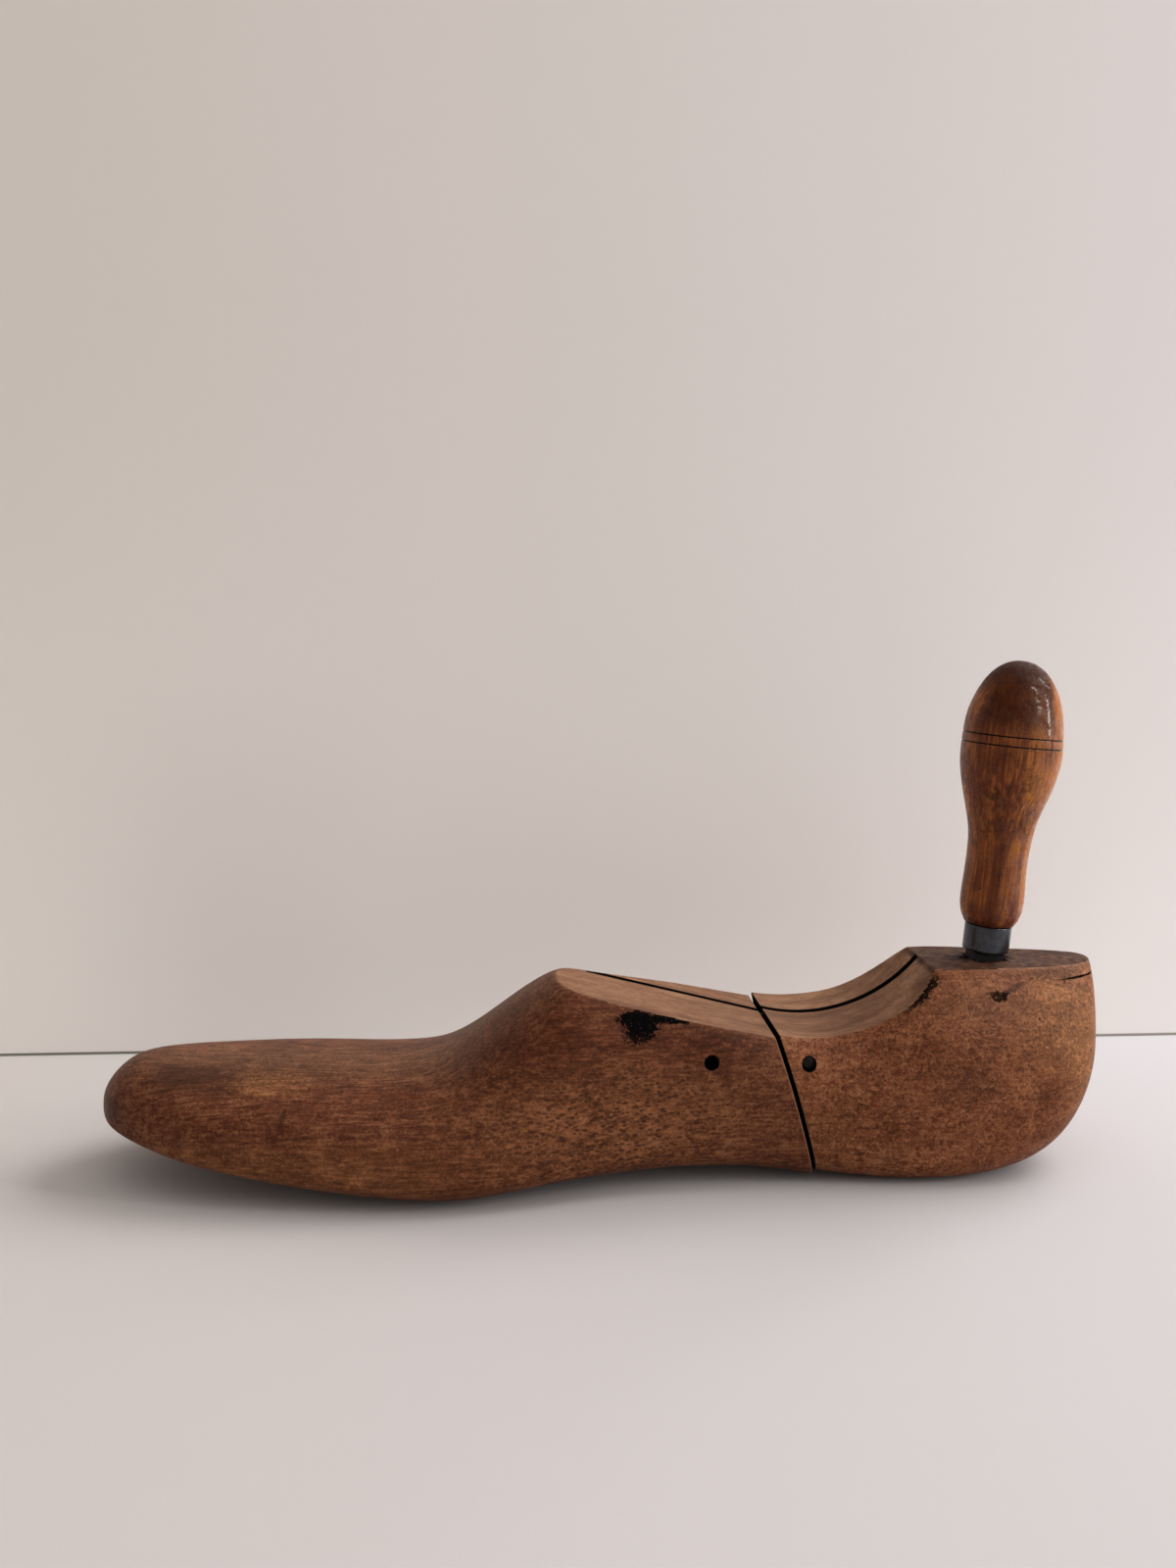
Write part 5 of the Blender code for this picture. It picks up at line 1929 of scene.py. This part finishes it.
@dataclass
class Studio:
    """Pale floor, pale wall close behind, soft window light from the right, and the camera."""

    wall_y: float = 0.103
    # Height of the dark strip at the wall's foot: painted shade in the crease where wall meets floor
    crease_shade: float = 0.0010
    reach: float = 3.0
    eye: Triple = (-0.0269, -0.3840, 0.1621)
    yaw: float = math.radians(3.2)
    pitch: float = math.radians(6.8)
    lens: float = 29.25
    # Left and right colours of the floor and wall: their paint, with painted light, cooler towards the
    # window at the right and on the wall brighter too
    floor_colours_and_light: tuple[Colour, Colour] = ((0.515, 0.480, 0.465), (0.500, 0.490, 0.515))
    wall_colours_and_light: tuple[Colour, Colour] = ((0.80, 0.75, 0.70), (0.83, 0.80, 0.80))
    # Painted shade of that crease, lighter towards the window at the right
    crease_shade_colours: tuple[Colour, Colour] = ((0.20, 0.20, 0.17), (0.36, 0.34, 0.31))
    # Colour of the painted light low on the wall
    painted_light_colour: Colour = (0.98, 0.96, 0.94)
    room_colour: Colour = (1.0, 0.95, 0.90)
    seen_colour: Colour = (0.62, 0.56, 0.52)
    bright_side: Triple = (0.66, 0.10, 0.74)
    dim: float = 0.33
    bright: float = 1.20
    lamps: tuple[Lamp, ...] = (
        Lamp("high_window", (1.12, 0.44, 1.08), 1.1, 1.1, 24.5),
        Lamp("low_window", (1.45, -0.50, 0.52), 0.14, 0.80, 8.0),
        Lamp("gleam", (1.00, -0.93, 1.05), 0.26, 0.80, 10.0, lights_all=False))

    def paint(self, name: str, colours: tuple[Colour, Colour], pale: float = 0.0) -> Material:
        """Flat paint that changes from left to right, with painted light of the window at the right, and
        shows nothing of its back.

        Args:
            name: name of the material.
            colours: colour at the left and at the right.
            pale: how much paler it is near the floor, as painted light over the soft shade low on the wall.

        Returns:
            The material.
        """
        graph = Graph(bpy.data.materials.new(name))
        x, _, z = graph.axes()
        # Painted light: the colour changes from left to right
        colour = graph.mix(graph.steps(x, -0.28, 0.28, smooth=False), *colours)
        # Painted light, paler towards the floor
        colour = graph.mix(graph.steps(z, 0.30, 0.0) * pale, colour, self.painted_light_colour)
        graph.finish(colour, 0.95, graph.noise(900.0, 3.0, 0.55), 0.00002, Specular_IOR_Level=0.08)
        back = graph.add("ShaderNodeNewGeometry").outputs["Backfacing"]
        clear = graph.add("ShaderNodeBsdfTransparent")
        graph.either(back, graph.tree.nodes["Principled BSDF"], clear, "Material Output")
        return graph.owner

    def sheet(self, name: str, corners: Array, material: Material, shades: bool = True) -> None:
        """Flat stage sheet.

        Args:
            name: its name.
            corners: (4, 3) places, anticlockwise seen from its front.
            material: its paint.
            shades: whether the lamps behind it are hidden by it.
        """
        mesh = mesh_from_arrays(name, corners, [np.array([[0, 1, 2, 3]])])
        mesh.materials.append(material)
        item = new_item(name, mesh)
        item.visible_shadow = shades

    def upright(self, y: float, high: float) -> Array:
        """Corners of a wide upright sheet that stands on the floor and faces the camera."""
        wide = self.reach
        return np.array([[-wide, y, 0.0], [wide, y, 0.0], [wide, y, high], [-wide, y, high]])

    def room(self) -> None:
        """Light of the room: bright from the window's side and from above, dim from the camera's side.

        The strength follows the cosine between a ray's direction and the bright side's. Straight to the
        camera the room shows one pale colour.
        """
        graph = Graph(bpy.data.worlds.new("room"))
        ray = graph.place.node.outputs["Generated"]
        cosine = graph.vector("DOT_PRODUCT", ray, Vector(self.bright_side).normalized()).outputs["Value"]
        level = graph.steps(cosine, -0.10, 1.0) * (self.bright - self.dim) + self.dim
        base = graph.tree.nodes["Background"]
        graph.feed(base.inputs["Strength"], level)
        graph.feed(base.inputs["Color"], (*self.room_colour, 1.0))
        pale = graph.add("ShaderNodeBackground", Color=(*self.seen_colour, 1.0))
        graph.either(graph.add("ShaderNodeLightPath").outputs["Is Camera Ray"], base, pale, "World Output")
        bpy.context.scene.world = graph.owner

    def camera(self) -> None:
        """Camera where the photograph was taken from."""
        lens = bpy.data.cameras.new("camera")
        lens.lens = self.lens
        lens.clip_start, lens.clip_end = 0.01, 20.0
        camera = new_item("camera", lens)
        camera.location = self.eye
        camera.rotation_euler = (QUARTER - self.pitch, 0.0, -self.yaw)
        bpy.context.scene.camera = camera
        bpy.context.scene.view_settings.view_transform = "Standard"

    def build(self) -> None:
        """Set up the stage, the light and the camera."""
        wide, y = self.reach, self.wall_y
        floor = np.array([[-wide, -wide, 0.0], [wide, -wide, 0.0], [wide, wide, 0.0], [-wide, wide, 0.0]])
        self.sheet("floor", floor, self.paint("floor_paint", self.floor_colours_and_light))
        # The wall is painted paler near the floor: painted light over the soft shade low on the wall
        wall_paint = self.paint("wall_paint", self.wall_colours_and_light, pale=0.6)
        self.sheet("wall", self.upright(y, wide), wall_paint, shades=False)
        # Dark strip at the foot of the wall: painted shade in the crease
        crease_shade_paint = self.paint("crease_shade_paint", self.crease_shade_colours)
        self.sheet("crease_shade", self.upright(y - self.crease_shade / 2.0, self.crease_shade), crease_shade_paint)
        for lamp in self.lamps:
            lamp.build()
        self.room()
        self.camera()


def last_woods(shape: LastShape, hinge: Hinge, shift: Vector) -> tuple[LastWood, LastWood]:
    """Woods of the forepart and of the heel, which is a little lighter and less streaked.

    Args:
        shape: the last.
        hinge: its hinge.
        shift: from the last's own frame to the part's.

    Returns:
        Both finishes.
    """
    # The wood beside the break is painted pale as a highlight on its edge, most on the forepart
    front = LastWood(
        "forepart_wood", shift, FOREPART_MARKS, hinge.hollows(0.0, hinge.front_pin, pale=0.55),
        flecks=Mark((0.150, -0.034, 0.022), (0.046, 0.022, 0.022), UMBER, 0.75, edge=1.5),
        lines=Mark((0.060, -0.040, 0.010), (0.070, 0.030, 0.012), UMBER, 0.36, edge=1.3))
    back = LastWood(
        "heel_wood", shift, HEEL_MARKS, hinge.hollows(shape.heel_step, hinge.rear_pin, pale=0.15),
        flecks=Mark((0.240, -0.030, 0.020), (0.050, 0.030, 0.030), UMBER, 0.30, edge=1.8),
        lines=Mark((0.215, -0.032, 0.016), (0.030, 0.022, 0.018), UMBER, 0.36, edge=1.4),
        dark=(0.068, 0.018, 0.0066), middle=(0.170, 0.053, 0.0225), light=(0.300, 0.122, 0.055),
        shade_marks=(MORTISE_SHADE,), streak=0.16)
    return front, back


def main() -> None:
    """Load the frame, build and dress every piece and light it."""
    logging.basicConfig(level=logging.INFO, format="%(message)s")
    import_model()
    tang_low, tang_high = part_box("tang")
    shift = Vector((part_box("forepart")[0].x, (tang_low.y + tang_high.y) / 2.0, 0.0))
    shape = LastShape()
    hinge = Hinge(shape, shift)
    handle = Handle(shape, shift)
    front_wood, back_wood = last_woods(shape, hinge, shift)
    Forepart(shape, hinge, shift).build(front_wood.material())
    HeelPart(shape, hinge, shift).build(back_wood.material(), handle.mortise())
    HingeSteel(hinge).build()
    handle.build()
    Studio().build()


if __name__ == "__main__":
    main()
